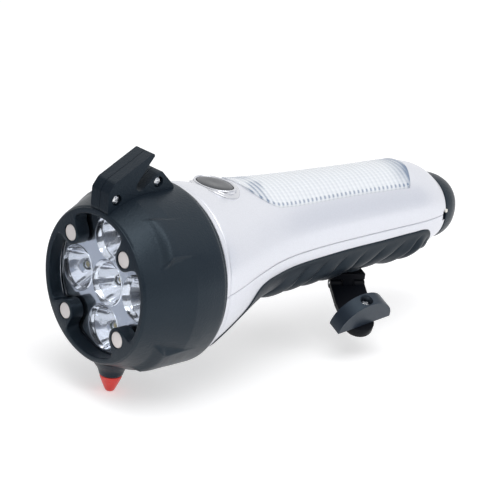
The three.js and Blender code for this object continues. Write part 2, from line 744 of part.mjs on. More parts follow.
// An upright oval prism, longer across the body than along it.
function oval(length, width, z0, z1) {
  const outline = Array.from({ length: ovalSides }, (unused, side) => {
    const turn = 2 * halfTurn * side / ovalSides;
    return new THREE.Vector2(buttonStation + Math.cos(turn) * length / 2, Math.sin(turn) * width / 2);
  });
  return planProfile(outline, z0, z1);
}

const strapWindow = () => block(
  strapStation - strapLength / 2, strapStation + strapLength / 2, -2 * handleHalfWidth, 2 * handleHalfWidth,
  strapLevel - strapHeight / 2, strapLevel + strapHeight / 2,
);

function upperShell() {
  const half = bodyTube().intersect(seamSide(1));
  const lensSeat = cut(planProfile(areaOutline(fit), 0, 2 * headRadius), bodySolid(-lensSink - fit));
  const lensWindow = planProfile(areaOutline(-lensLedge), handleRise / 3, 2 * headRadius);
  const collarLength = buttonLength + 2 * collarRim + 2 * fit;
  const collarWidth = buttonWidth + 2 * collarRim + 2 * fit;
  const buttonWindow = oval(collarLength, collarWidth, handleRise / 3, 2 * headRadius);
  const opened = cut(half, lensSeat, lensWindow, buttonWindow, strapWindow());
  const inside = bodySolid(-lensSink - 2 * fit);
  const screwBosses = caseScrewPlaces.map(([x, y]) => {
    return rod(x, y, seamLevel(x) + fit / 2, headRadius, screwShank + fit + screwBossWall, fewSides);
  });
  const screwBores = caseScrewPlaces.map(([x, y]) => {
    return rod(x, y, -headRadius, seamLevel(x) + screwLength / 2 + fit, screwShank + fit, fewSides);
  });
  const shelves = [areaBoardFront, areaBoardRear - shelfLength].flatMap((x) => [-1, 1].map((side) => {
    const reaches = [side * (areaBoardHalfWidth - shelfGrip), side * handleHalfWidth];
    const [near, far] = reaches.sort((low, high) => low - high);
    return block(x, x + shelfLength, near, far, areaBoardBottom - fit - shelfThickness, areaBoardBottom - fit);
  }));
  const hangerFoot = controlBottom + boardThickness + fit;
  const hangers = [controlFront + controlInset, controlRear - controlInset].flatMap((x) => [-1, 1].map((side) => {
    return rod(x, side * (controlHalfWidth - controlInset), hangerFoot, headRadius, framePost, fewSides);
  }));
  const fittings = join(...screwBosses, ...shelves, ...hangers).intersect(inside);
  return cut(opened.add(fittings), buttonWindow, ...screwBores);
}

function lowerShell() {
  const half = bodyTube().intersect(seamSide(-1));
  const inside = bodySolid(-gripSink - 2 * fit);
  const screwBosses = caseScrewPlaces.map(([x, y]) => {
    return rod(x, y, -headRadius, seamLevel(x) - fit / 2, screwHead + fit + screwBossWall, fewSides);
  });
  const framePosts = framePostPlaces.map(([x, y]) => rod(x, y, -headRadius, frameBottom - fit, framePost, fewSides));
  const idlerBoss = rod(idlerStation, 0, -headRadius, gearBottom - fit, idlerPinRadius + fit + idlerBossWall, fewSides);
  const bushBoss = rod(crankStation, 0, -headRadius, bushTop - fit, bushRadius + fit + bushWall, smallSides);
  const hubPad = rod(crankStation, 0, bushBottom, bushTop - wall, hubPadRadius, smallSides);
  const fittings = join(...screwBosses, ...framePosts, idlerBoss, bushBoss).intersect(inside);
  const recessed = cut(half, cut(gripRegion(fit), bodySolid(-gripSink - fit, overrun)), strapWindow());
  const screwBores = caseScrewPlaces.flatMap(([x, y]) => [
    rod(x, y, -headRadius, headRadius, screwShank + fit, fewSides),
    rod(x, y, -headRadius, seamLevel(x) - screwLength / 2, screwHead + fit, fewSides),
  ]);
  const idlerBore = rod(idlerStation, 0, idlerPinBottom - fit, headRadius, idlerPinRadius + fit, fewSides);
  const bushBore = rod(crankStation, 0, -headRadius, headRadius, bushRadius + fit, smallSides);
  return cut(join(recessed, fittings, hubPad), ...screwBores, idlerBore, bushBore);
}

// Rubber grip under the handle: slanting scallops, sunk into the lower shell.
const gripSink = 0.5;
const gripProud = 0.6;
const bulgeHeight = 1.4;
const bulgePitch = 13.3;
const bulgeInset = 41.5;
const bulgeSteps = 2;
const bulgeSlantShare = 0.6;
const stripInset = 3.8;
const stripMargin = 5.5;
const stripSteps = 7;
const bulgeFront = bodyFront + bulgeInset;
const bulgeCount = Math.ceil((bodyRear - bulgeFront) / bulgePitch);
const stripFront = bodyFront + stripInset;
const stripHalfWidth = handleHalfWidth - stripMargin;
// Edge of the rubber seen from the side: share of the body's length and height as a share of the handle's rise
const gripEdgeShares = [
  [0.198, -0.4406], [0.21, -0.4039], [0.24, -0.257], [0.283, -0.1407], [0.339, -0.0453], [0.413, 0.0061],
  [0.543, 0.0245], [0.785, 0.0477], [0.89, 0.0453], [0.921, -0.0269], [0.952, -0.1346], [0.98, -0.2693],
];

// Where the rubber lies, seen from the side and from below, grown by a margin.
function gripRegion(margin) {
  const edge = gripEdgeShares.map(([share, level]) => {
    return new THREE.Vector2(bodyFront + share * bodyLength, level * handleRise + margin);
  });
  const [first, last] = [edge[0], edge[edge.length - 1]];
  const corners = [
    new THREE.Vector2(first.x - margin, -2 * headRadius),
    new THREE.Vector2(first.x - margin, first.y),
    ...edge,
    new THREE.Vector2(bodyRear, last.y),
    new THREE.Vector2(bodyRear, -2 * headRadius),
  ];
  const sides = sideProfile(corners, -2 * headRadius, 2 * headRadius);
  const reach = stripHalfWidth + margin;
  return sides.add(block(stripFront - margin, bulgeFront, -reach, reach, -2 * headRadius, 0));
}

// A ring of the rubber's outside: the lower half of the body, leaning towards the tail as it rises.
function gripRing(station, proud) {
  return bodyTurns.slice(bodySides / 2).concat(2 * halfTurn).map((turn) => {
    const upright = bodyPoint(station, turn, proud);
    const lean = bulgeSlantShare * (upright.z - bodySection(station).bottom);
    return bodyPoint(station + lean, turn, proud);
  });
}

function rubberGrip() {
  const strip = Array.from({ length: stripSteps }, (unused, step) => {
    return gripRing(THREE.MathUtils.lerp(stripFront - bulgePitch, bulgeFront, step / stripSteps), gripProud);
  });
  const scallops = Array.from({ length: bulgeCount * bulgeSteps + 1 }, (unused, step) => {
    const share = step / bulgeSteps;
    return gripRing(bulgeFront + share * bulgePitch, gripProud + bulgeHeight * Math.abs(Math.sin(halfTurn * share)));
  });
  const outside = skin([...strip, ...scallops]).intersect(gripRegion(0));
  const hole = rod(crankStation, 0, -headRadius, 0, gripHole, smallSides);
  return cut(outside, bodySolid(-gripSink, overrun), hole);
}

function areaLens() {
  return cut(planProfile(areaOutline(0), 0, 2 * headRadius).intersect(bodySolid(lensProud)), bodySolid(-lensSink));
}

place('upper_shell', upperShell(), pearlSilver);
place('lower_shell', lowerShell(), pearlSilver);
place('rubber_grip', rubberGrip(), rubberBlack);
place('area_lens', areaLens(), clearPlastic);

// Press button in its oval collar, over a switch on the control board.
const buttonFlange = 1;
const buttonDome = 1.2;
const buttonShoulder = 0.6;
const stemRadius = 3;
const stemLength = 1;
const switchHalfWidth = 3.1;
const switchHeight = 2.1;
const buttonDomeShares = [[0, 1], [0.35, 0.93], [0.75, 0.7], [0.97, 0.35]];

function buttonCollar() {
  const outer = oval(buttonLength + 2 * collarRim, buttonWidth + 2 * collarRim, collarBottom, collarTop);
  const inner = oval(buttonLength + 2 * fit, buttonWidth + 2 * fit, 0, 2 * headRadius);
  return cut(outer, inner);
}

function powerButton() {
  const flangeTop = collarBottom - fit;
  const shoulder = collarTop - buttonShoulder;
  const ring = (level, share) => Array.from({ length: ovalSides }, (unused, side) => {
    const turn = 2 * halfTurn * side / ovalSides;
    const [x, y] = [Math.cos(turn) * buttonLength / 2, Math.sin(turn) * buttonWidth / 2];
    return new THREE.Vector3(buttonStation + share * x, share * y, level);
  });
  const dome = buttonDomeShares.map(([rise, share]) => ring(shoulder + rise * buttonDome, share));
  const cap = skin([ring(flangeTop - buttonFlange, 1), ...dome]);
  const flange = oval(buttonLength + collarRim, buttonWidth + collarRim, flangeTop - buttonFlange, flangeTop);
  const stemTop = flangeTop - buttonFlange / 2;
  const stem = rod(buttonStation, 0, stemTop - buttonFlange / 2 - stemLength, stemTop, stemRadius, fewSides);
  return join(cap, flange, stem);
}

function powerSwitch() {
  const bottom = controlBottom + boardThickness + fit;
  const [x0, x1] = [buttonStation - switchHalfWidth, buttonStation + switchHalfWidth];
  return block(x0, x1, -switchHalfWidth, switchHalfWidth, bottom, bottom + switchHeight);
}

place('button_collar', buttonCollar(), pearlSilver);
place('power_button', powerButton(), satinBlack);
place('power_switch', powerSwitch(), satinBlack);
place(
  'control_board',
  block(controlFront, controlRear, -controlHalfWidth, controlHalfWidth, controlBottom, controlBottom + boardThickness),
  boardGreen,
);

// Row of area lamps on a board under the area lens.
const areaLampRadius = 1.5;
const areaLampHeight = 1.6;
const areaLampCount = 6;
const areaLampInset = 8;

place('area_board', block(
  areaBoardFront, areaBoardRear, -areaBoardHalfWidth, areaBoardHalfWidth, areaBoardBottom,
  areaBoardBottom + areaBoardThickness,
), boardGreen);
for (let index = 0; index < areaLampCount; index++) {
  const share = index / (areaLampCount - 1);
  const x = THREE.MathUtils.lerp(areaBoardFront + areaLampInset, areaBoardRear - areaLampInset, share);
  const foot = areaBoardBottom + areaBoardThickness + fit;
  place(`area_lamp_${index + 1}`, rod(x, 0, foot, foot + areaLampHeight, areaLampRadius, fewSides), clearPlastic);
}

// Domed tail cap with two tabs that plug into the body.
const domeLength = 16;
const domeRoundness = 2.4;
const domeShares = [0, 0.3, 0.55, 0.75, 0.9, 0.98];
const tabHalfWidth = 7;
const tabLength = 5;
const tabThickness = 1.8;

function dome(margin, start, length, turns) {
  const { widest } = bodySection(bodyRear);
  const centre = new THREE.Vector3(0, 0, widest);
  return domeShares.map((share) => {
    const shrink = (1 - share ** domeRoundness) ** (1 / domeRoundness);
    return turns.map((turn) => {
      const spot = bodyPoint(bodyRear, turn, margin).setX(0).sub(centre).multiplyScalar(shrink).add(centre);
      return spot.setX(start + share * length);
    });
  });
}

function tailCap() {
  const front = bodyRear + fit;
  const inner = dome(-wall, front, domeLength - wall, turnsOf(hollowSides));
  const mouth = inner[0].map((spot) => spot.clone().setX(front - overrun));
  const shell = cut(skin(dome(0, front, domeLength, bodyTurns)), skin([mouth, ...inner]));
  const reach = (from, to) => block(from, to, -tabHalfWidth, tabHalfWidth, -2 * headRadius, 2 * headRadius);
  const plug = reach(bodyRear - tabLength, front + wall).intersect(hollowSolid(fit));
  const root = reach(front, front + wall).intersect(hollowSolid(-wall / 2));
  return shell.add(cut(plug.add(root), hollowSolid(fit + tabThickness)));
}

place('tail_cap', tailCap(), satinBlack);

// Gear train that steps the crank up to the generator, under one frame plate.
const toothAddendumShare = 0.95;
const toothDedendumShare = 1.2;
const toothRootShare = 0.33;
const toothTipShare = 0.12;
const canHeadroom = 3.4;
const rotorGap = 1.3;
const rotorHeadroom = 2.5;
const rotorShaft = 1.5;
const canBottom = frameBottom + frameThickness + fit;
const canHeight = areaBoardBottom - canBottom - canHeadroom;
const rotorRadius = canRadius - canWall - rotorGap;
const rotorHeight = canHeight - rotorHeadroom;

// A spur gear about an upright axis, its first tooth turned by a share of the tooth pitch.
function gear(teeth, x, z0, thickness, turnShare) {
  const pitchRadius = gearModule * teeth / 2;
  const tip = pitchRadius + toothAddendumShare * gearModule;
  const root = pitchRadius - toothDedendumShare * gearModule;
  const pitch = 2 * halfTurn / teeth;
  const outline = Array.from({ length: teeth }, (unused, index) => (index + turnShare) * pitch).flatMap((middleTurn) => {
    const corners = [[root, -toothRootShare], [tip, -toothTipShare], [tip, toothTipShare], [root, toothRootShare]];
    return corners.map(([radius, share]) => {
      const turn = middleTurn + share * pitch;
      return new THREE.Vector2(x + radius * Math.cos(turn), radius * Math.sin(turn));
    });
  });
  return planProfile(outline, z0, z0 + thickness);
}

function driveGear() {
  const wheel = gear(crankTeeth, crankStation, gearBottom, gearThickness, 0);
  return cut(wheel, rod(crankStation, 0, -headRadius, headRadius, crankShaft + fit, fewSides));
}

function idlerGear() {
  const smallHeight = largeGearBottom - gearBottom + largeGearThickness / 2;
  const small = gear(idlerSmallTeeth, idlerStation, gearBottom, smallHeight, 0.5);
  const large = gear(idlerLargeTeeth, idlerStation, largeGearBottom, largeGearThickness, 0);
  return cut(small.add(large), rod(idlerStation, 0, -headRadius, headRadius, idlerPinRadius + fit, fewSides));
}

function generatorRotor() {
  const bottom = frameBottom + frameThickness + 3 * fit;
  const drum = rod(generatorStation, 0, bottom, bottom + rotorHeight, rotorRadius, smallSides);
  const shaft = rod(generatorStation, 0, largeGearBottom, bottom + rotorHeight / 2, rotorShaft, fewSides);
  const pinion = gear(rotorTeeth, generatorStation, largeGearBottom, largeGearThickness, 0.5);
  return join(drum, shaft, pinion);
}

function generatorCan() {
  const top = canBottom + canHeight;
  const shell = rod(generatorStation, 0, canBottom, top, canRadius, smallSides);
  return cut(shell, rod(generatorStation, 0, 0, top - canWall, canRadius - canWall, smallSides));
}

function gearFrame() {
  const plate = block(frameFront, frameRear, -frameHalfWidth, frameHalfWidth, frameBottom, frameBottom + frameThickness);
  const pinBore = rod(idlerStation, 0, 0, headRadius, idlerPinRadius + fit, fewSides);
  const shaftBore = rod(generatorStation, 0, 0, headRadius, rotorShaft + fit, fewSides);
  return cut(plate, pinBore, shaftBore);
}

function crankBush() {
  const sleeve = rod(crankStation, 0, bushBottom, bushTop, bushRadius, smallSides);
  return cut(sleeve, rod(crankStation, 0, -headRadius, 0, crankShaft + fit, smallSides));
}

const idlerPinTop = frameBottom + frameThickness;
place('gear_frame', gearFrame(), whiteNylon);
place('crank_bush', crankBush(), copperBrown);
place('drive_gear', driveGear(), whiteNylon);
place('idler_gear', idlerGear(), whiteNylon);
place('idler_pin', rod(idlerStation, 0, idlerPinBottom, idlerPinTop, idlerPinRadius, fewSides), brightSteel);
place('generator_can', generatorCan(), brightSteel);
place('generator_rotor', generatorRotor(), copperBrown);

// Rechargeable cells behind the generator.
const cellCount = 3;
const cellGap = 0.4;
const cellMargin = 2.5;
const cellHeadroom = 5;
const cellLead = 0.6;
const cellOverhang = 0.8;
const cellWidthRoom = handleHalfWidth - wall - cellMargin - cellGap;
const cellHeightRoom = areaBoardBottom - canBottom - cellHeadroom;
const cellRadius = Math.min(cellWidthRoom / cellCount, cellHeightRoom / 2);
const cellFront = generatorStation + canRadius + cellLead;
const cellLength = frameRear + cellOverhang - cellFront;
const cellPitch = 2 * cellRadius + cellGap;

for (let index = 0; index < cellCount; index++) {
  const y = (index - 1) * cellPitch;
  const level = canBottom + cellRadius;
  place(`battery_cell_${index + 1}`, rodAlong(cellFront, cellFront + cellLength, y, level, cellRadius, fewSides), copperBrown);
}

// Screws that close the two shells from below, under the rubber.
function caseScrew([x, y]) {
  const middleLevel = seamLevel(x);
  const headTop = middleLevel - screwLength / 2 - fit;
  const head = rod(x, y, headTop - screwHeadDepth, headTop, screwHead, fewSides);
  return head.add(rod(x, y, headTop - screwHeadDepth / 2, middleLevel + screwLength / 2, screwShank, fewSides));
}

caseScrewPlaces.forEach((spot, index) => place(`case_screw_${index + 1}`, caseScrew(spot), brightSteel));

// Folding crank under the handle: hub, hinge pin, drooping arm and a half-moon knob that swivels.
const crankHeading = 243.1;
const crankDroop = 26;
const crankReach = 33.3;
const hubRadius = 9;
const hubGap = 2.35;
const armDrop = 2.2;
const hubTop = crankSeat - hubGap;
const crankLevel = hubTop - armDrop;
const hubThickness = 3.1;
const hingeReach = 8;
const hingePinRadius = 1;
const hingeBossRadius = 2.4;
const armHalfWidth = 8.6;
const armEndRadius = 7.2;
const armThickness = 2.6;
const armTaper = 12;
const lugHalfWidth = 2.8;
const lugInset = 4;
const lugEdge = 1.8;
const discBottom = -2;
const discTop = 2.6;
const knobLength = 30;
const knobHeight = 13.8;
const knobThickness = 7.4;
const knobTurn = 111.6;
const knobSteps = 12;
const knobScrewRadius = 1.3;
const knobScrewHead = 2.8;
const knobScrewHeadDepth = 1.8;
const knobScrewSink = 2.4;
const shaftTop = gearBottom + gearThickness + fit;

// Turns a piece of the crank, built with its heading along +X from the hub's axis, into place.
function headed(shape) {
  return shape.rotate([0, 0, crankHeading]).translate([crankStation, 0, 0]);
}

// Turns a piece of the arm, built flat along +X, into its drooping place.
function drooped(shape) {
  return headed(shape.rotate([0, crankDroop, 0]).translate([0, 0, crankLevel]));
}

function crankHub() {
  const droop = THREE.MathUtils.degToRad(crankDroop);
  const [pinX, pinZ] = [hingeReach * Math.cos(droop), crankLevel - hingeReach * Math.sin(droop)];
  const hubBottom = hubTop - hubThickness;
  const disc = rod(0, 0, hubBottom, hubTop, hubRadius, smallSides);
  const shaft = rod(0, 0, hubBottom, shaftTop, crankShaft, smallSides);
  const web = sideProfile([
    new THREE.Vector2(pinX - lugInset, hubTop - fit), new THREE.Vector2(pinX - lugInset, hubBottom),
    new THREE.Vector2(pinX - hingeBossRadius, pinZ), new THREE.Vector2(pinX + hingeBossRadius, pinZ),
    new THREE.Vector2(pinX + hingeBossRadius, hubBottom), new THREE.Vector2(hubRadius - lugEdge, hubTop - fit),
  ].reverse(), -lugHalfWidth, lugHalfWidth);
  const lug = web.add(rodAcross(pinX, -lugHalfWidth, lugHalfWidth, pinZ, hingeBossRadius, fewSides));
  const bore = rodAcross(pinX, -hubRadius, hubRadius, pinZ, hingePinRadius + fit, fewSides);
  return headed(cut(join(disc, shaft, lug), bore));
}

function hingePin() {
  return drooped(rodAcross(hingeReach, -armHalfWidth, armHalfWidth, 0, hingePinRadius, fewSides));
}

function crankArm() {
  const taper = crankReach - armTaper;
  const plate = planProfile([
    new THREE.Vector2(hingeReach, -armHalfWidth), new THREE.Vector2(taper, -armHalfWidth),
    new THREE.Vector2(crankReach, -armEndRadius), new THREE.Vector2(crankReach, armEndRadius),
    new THREE.Vector2(taper, armHalfWidth), new THREE.Vector2(hingeReach, armHalfWidth),
  ], -armThickness / 2, armThickness / 2);
  const boss = rodAcross(hingeReach, -armHalfWidth, armHalfWidth, 0, hingeBossRadius, fewSides);
  const disc = rod(crankReach, 0, discBottom, discTop, armEndRadius, smallSides);
  const slotReach = lugHalfWidth + fit;
  const slotRoot = hingeReach - hingeBossRadius - fit;
  const slotEnd = hingeReach + hingeBossRadius + fit;
  const slot = block(slotRoot, slotEnd, -slotReach, slotReach, -hingeBossRadius - fit, hingeBossRadius + fit);
  const pinBore = rodAcross(hingeReach, -hubRadius, hubRadius, 0, hingePinRadius + fit, fewSides);
  const screwBore = rod(crankReach, 0, discBottom - overrun, discTop + overrun, knobScrewRadius + fit, fewSides);
  return drooped(cut(join(plate, boss, disc), slot, pinBore, screwBore));
}

// The knob is built over its own swivel axis, chord along +X, standing on the arm's disc.
function crankKnob() {
  const base = discTop + fit;
  const arch = Array.from({ length: knobSteps + 1 }, (unused, step) => {
    const turn = halfTurn * step / knobSteps;
    return new THREE.Vector2(Math.cos(turn) * knobLength / 2, base + Math.sin(turn) * knobHeight);
  });
  const moon = sideProfile(arch, -knobThickness / 2, knobThickness / 2);
  const seat = base + knobHeight - knobScrewSink - knobScrewHeadDepth - fit;
  const counterbore = rod(0, 0, seat, base + knobHeight + overrun, knobScrewHead + fit, smallSides);
  const bore = rod(0, 0, 0, base + knobHeight, knobScrewRadius + fit, fewSides);
  return drooped(cut(moon, counterbore, bore).rotate([0, 0, knobTurn]).translate([crankReach, 0, 0]));
}

function knobScrew() {
  const headTop = discTop + fit + knobHeight - knobScrewSink;
  const headBottom = headTop - knobScrewHeadDepth;
  const head = rod(crankReach, 0, headBottom, headTop, knobScrewHead, smallSides);
  const shank = rod(crankReach, 0, discBottom + fit, headTop - knobScrewHeadDepth / 2, knobScrewRadius, fewSides);
  return drooped(head.add(shank));
}

place('crank_hub', crankHub(), satinBlack);
place('hinge_pin', hingePin(), brightSteel);
place('crank_arm', crankArm(), satinBlack);
place('crank_knob', crankKnob(), satinBlack);
place('knob_screw', knobScrew(), brightSteel);

// Stands the torch with the middle of its box's base at the origin.
const bounds = new THREE.Box3().setFromObject(torch);
const middle = bounds.getCenter(new THREE.Vector3());
torch.position.set(-middle.x, -middle.y, -bounds.min.z);

export default torch;
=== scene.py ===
"""Hand crank rescue torch, dressed over its CAD frame: looks, fine forms and materials of every piece.

Points are worked out in millimetres from the middle of the front rim: X to the tail, Y to the torch's right,
Z up. to_row() turns them into the row frame's metres. Angles round the torch start at its right side.
"""
import math

import bmesh
import bpy
import numpy as np
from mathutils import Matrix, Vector


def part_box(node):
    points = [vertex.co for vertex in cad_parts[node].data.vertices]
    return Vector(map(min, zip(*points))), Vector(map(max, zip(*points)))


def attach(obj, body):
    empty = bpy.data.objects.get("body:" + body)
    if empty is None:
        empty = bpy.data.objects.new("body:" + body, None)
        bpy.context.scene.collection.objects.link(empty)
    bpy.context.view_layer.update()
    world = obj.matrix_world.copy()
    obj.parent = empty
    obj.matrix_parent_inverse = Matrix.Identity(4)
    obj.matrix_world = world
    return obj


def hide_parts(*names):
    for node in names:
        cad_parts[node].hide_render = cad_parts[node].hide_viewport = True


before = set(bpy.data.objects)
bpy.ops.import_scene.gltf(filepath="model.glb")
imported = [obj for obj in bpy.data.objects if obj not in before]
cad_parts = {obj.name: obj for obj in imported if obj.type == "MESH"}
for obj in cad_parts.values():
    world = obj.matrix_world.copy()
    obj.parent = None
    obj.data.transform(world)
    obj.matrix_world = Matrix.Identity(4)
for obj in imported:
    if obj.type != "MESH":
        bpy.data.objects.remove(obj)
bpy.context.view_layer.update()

# Studio: a white room with a large soft lamp overhead, a weaker one to the camera's right and a matt white
# floor, brighter to the camera than to the torch. Four cards round it show only in gloss and through glass.
CAMERA_PLACE = (-0.607094, -0.604088, 0.365080)
CAMERA_TURN = (69.549914, -5.793245, -42.054363)
FOCAL_LENGTH = 141.984
FLOOR_REACH = 9.0
FLOOR_WHITE = (0.80, 0.80, 0.81, 1)
FLOOR_LIFT = 0.42
ROOM_WHITE = (1.0, 1.0, 1.0, 1)
ROOM_LIGHT = 0.62
CARD_TINT = np.array([0.92, 0.97, 1.08])
camera_data = bpy.data.cameras.new("camera")
camera_data.lens = FOCAL_LENGTH
camera_data.sensor_width = 36
camera_data.dof.use_dof = False
camera = bpy.data.objects.new("camera", camera_data)
camera.location = CAMERA_PLACE
camera.rotation_euler = [math.radians(angle) for angle in CAMERA_TURN]
bpy.context.scene.collection.objects.link(camera)
bpy.context.scene.camera = camera
bpy.context.scene.view_settings.view_transform = "Standard"


def join(tree, target, sockets):
    """Fills a node's sockets, by name or number: another node's socket is linked, all else is a value."""
    for key, value in sockets.items():
        socket = target.inputs[key.replace("_", " ") if isinstance(key, str) else key]
        if isinstance(value, bpy.types.NodeSocket):
            tree.links.new(value, socket)
        else:
            socket.default_value = value


def node(tree, kind, settings=(), **sockets):
    """A new shader node with its settings, and its sockets filled."""
    made = tree.nodes.new(kind)
    for key, value in dict(settings).items():
        setattr(made, key, value)
    join(tree, made, sockets)
    return made


def value_math(tree, operation, first, second):
    """A maths node on two sockets or numbers."""
    made = node(tree, "ShaderNodeMath", {"operation": operation})
    join(tree, made, {0: first, 1: second})
    return made.outputs[0]


def seen_rays(tree):
    """1 for rays from the camera, from gloss and through glass, and 0 for light that falls on the torch."""
    rays = tree.nodes.new("ShaderNodeLightPath").outputs
    seen = value_math(tree, "MAXIMUM", rays["Is Camera Ray"], rays["Is Glossy Ray"])
    return value_math(tree, "MAXIMUM", seen, rays["Is Transmission Ray"])


def stage_sheet(name, corners):
    """A flat sheet of the studio by its four corners: the object and its material's empty node tree."""
    data = bpy.data.meshes.new(name)
    data.from_pydata(corners, [], [(0, 1, 2, 3)])
    sheet = bpy.data.objects.new(name, data)
    bpy.context.scene.collection.objects.link(sheet)
    paint = bpy.data.materials.new(name)
    paint.use_nodes = True
    paint.node_tree.nodes.clear()
    data.materials.append(paint)
    return sheet, paint.node_tree


def flag_card(name, corners, shade):
    """A card that only shows in gloss and through glass: it darkens what metal and lacquer mirror."""
    card, tree = stage_sheet(name, corners)
    card.visible_camera = False
    card.visible_diffuse = False
    card.visible_shadow = False
    glow = node(tree, "ShaderNodeEmission", Color=(*(shade * CARD_TINT), 1))
    node(tree, "ShaderNodeOutputMaterial", Surface=glow.outputs[0])


def upright(start, end, low, high):
    """Corners of a card that stands between two points of the floor, from one level up to another."""
    return [(*start, low), (*end, low), (*end, high), (*start, high)]


def soft_lamp(name, place, aim, size, power):
    """A square studio lamp at a place in metres, turned to face a point."""
    data = bpy.data.lights.new(name, "AREA")
    data.size = size
    data.energy = power
    lamp = bpy.data.objects.new(name, data)
    bpy.context.scene.collection.objects.link(lamp)
    lamp.location = place
    lamp.rotation_euler = (Vector(aim) - Vector(place)).to_track_quat("-Z", "Y").to_euler()


world = bpy.data.worlds.new("room")
bpy.context.scene.world = world
world.use_nodes = True
room = world.node_tree
room_strength = node(room, "ShaderNodeMapRange", Value=seen_rays(room), To_Min=ROOM_LIGHT, To_Max=1.0)
join(room, room.nodes["Background"], {"Color": ROOM_WHITE, "Strength": room_strength.outputs["Result"]})
floor_corners = [(FLOOR_REACH * x, FLOOR_REACH * y, 0) for x, y in ((-1, -1), (1, -1), (1, 1), (-1, 1))]
floor_tree = stage_sheet("floor", floor_corners)[1]
matt = node(floor_tree, "ShaderNodeBsdfDiffuse", Color=FLOOR_WHITE)
lift_level = value_math(floor_tree, "MULTIPLY", seen_rays(floor_tree), FLOOR_LIFT)
lift = node(floor_tree, "ShaderNodeEmission", Strength=lift_level)
both = node(floor_tree, "ShaderNodeAddShader")
join(floor_tree, both, {0: matt.outputs[0], 1: lift.outputs[0]})
node(floor_tree, "ShaderNodeOutputMaterial", Surface=both.outputs[0])
soft_lamp("key_lamp", (-0.25, -0.35, 1.1), (0, 0, 0.04), 0.8, 5.5)
soft_lamp("side_lamp", (0.55, -1.0, 0.45), (0, 0, 0.04), 0.6, 3.0)
flat_corners = [(-0.62, 0.03, 0.001), (-0.135, 0.03, 0.001), (-0.135, 0.5, 0.001), (-0.62, 0.5, 0.001)]
flag_card("floor_card", flat_corners, 0.48)
flag_card("left_card", upright((-0.75, 0.1), (-0.2, 0.75), 0, 0.6), 0.22)
flag_card("high_card", upright((0.15, -0.95), (0.95, -0.5), 0.05, 0.72), 0.6)
flag_card("low_card", upright((-0.9, -0.75), (-0.2, -1.15), 0.02, 0.5), 0.12)

# Bezel: the black head ring, injection moulded in ABS with a fine satin grain. A recess in front holds four
# filleted posts for the magnets; outside, four pads rise over them. The rear slips over the body's neck.
SATIN_BLACK = (0.007, 0.012, 0.019, 1)
COOL_GLOSS = (0.70, 0.87, 1.0, 1)
RIM_RADIUS = 34.0
BORE_RADIUS = 31.4
SEAT_RADIUS = 32.4
RECESS_DEPTH = 6.4
BEZEL_LENGTH = 41.9
EDGE_ROUND = 0.45
RIM_LIP = 0.5
BOSS_RADIUS = 5.2
BOSS_HALF_ANGLE = 11.68
MAGNET_REACH = 25.67
POCKET_RADIUS = 3.9
POCKET_DEPTH = 3.3
# Outer radius by station: at the sides, over the top, underneath, and on the raised pads
SIDE_PROFILE = [(0, 34), (0.8, 34.4), (8.4, 36.6), (14.7, 38.2), (23.9, 40.6), (30, 41), (60, 41)]
TOP_PROFILE = [(0, 34), (0.8, 34.6), (5, 36.6), (9, 38.3), (13, 39.6), (20, 40.8), (27, 41), (60, 41)]
UNDER_PROFILE = [(0, 34), (0.8, 34.5), (5, 35.8), (9.5, 37.5), (14.6, 39.6), (19, 40.3), (27, 41), (60, 41)]
PAD_PROFILE = [(0, 34), (8, 38.2), (12, 40.3), (15, 40.8), (17.5, 41), (60, 41)]
REAR_DROP = [(38, 0), (39.2, 0.12), (40.0, 0.5), (40.35, 1.5), (40.5, 1.6), (42, 1.6)]
# A pad's lower and upper edges: degrees from the level by station
PAD_LOW_FOOT = [(8.5, 26.6), (22.1, 31.2)]
PAD_LOW_CREST = [(8.5, 27.6), (14.7, 34.6), (22.1, 32.6)]
PAD_HIGH_CREST = [(7, 62.5), (12, 59.9), (16, 58.0), (20, 56.4), (28, 55.2)]
PAD_WALL = 4.6
# The recess's wall beside a post: radius by degrees from the post's middle
POST_WEB = [(BOSS_HALF_ANGLE, 25.1), (11.95, 26.6), (12.3, 28.2), (13.2, 29.8), (14.6, 30.7), (17.0, 31.25),
            (20, BORE_RADIUS)]
# The rear: a thin lip outside, a groove for the body's neck, and the seat
REAR_STEPS = [(BEZEL_LENGTH, 39.2), (BEZEL_LENGTH, 37.5), (36.0, 37.5), (36.0, 34.4), (BEZEL_LENGTH, 34.4)]
rim_low, rim_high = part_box("bezel")
rim_centre = np.array([rim_low.x, 0.0, (rim_low.z + rim_high.z) / 2])


def to_row(points):
    """Millimetres from the middle of the front rim as metres in the row frame."""
    return np.asarray(points, float) / 1000 + rim_centre


def grid_faces(rows, columns, joined_round=True):
    """Quads between neighbouring rows of points, the columns joined round into rings or left open."""
    last = columns if joined_round else columns - 1
    row, column = np.mgrid[0:rows - 1, 0:last]
    beside = (column + 1) % columns
    corners = [row * columns + column, row * columns + beside]
    corners += [(row + 1) * columns + beside, (row + 1) * columns + column]
    return np.stack(corners, -1).reshape(-1, 4)


def tidy_mesh(mesh, crease):
    """Welds a mesh's seams, turns its faces outwards and shades it smooth but for creases over an angle."""
    work = bmesh.new()
    work.from_mesh(mesh)
    bmesh.ops.remove_doubles(work, verts=work.verts, dist=2e-6)
    bmesh.ops.recalc_face_normals(work, faces=work.faces)
    work.to_mesh(mesh)
    work.free()
    mesh.polygons.foreach_set("use_smooth", np.ones(len(mesh.polygons), bool))
    mesh.set_sharp_from_angle(angle=math.radians(crease))
    mesh.update()


def solid(name, shape, crease=34):
    """A closed solid from a shape, which is points in millimetres and faces. Unpainted, it only cuts."""
    points, faces = shape
    mesh = bpy.data.meshes.new(name)
    mesh.from_pydata(to_row(points).tolist(), [], faces if isinstance(faces, list) else faces.tolist())
    thing = bpy.data.objects.new(name, mesh)
    bpy.context.scene.collection.objects.link(thing)
    tidy_mesh(mesh, crease)
    return thing


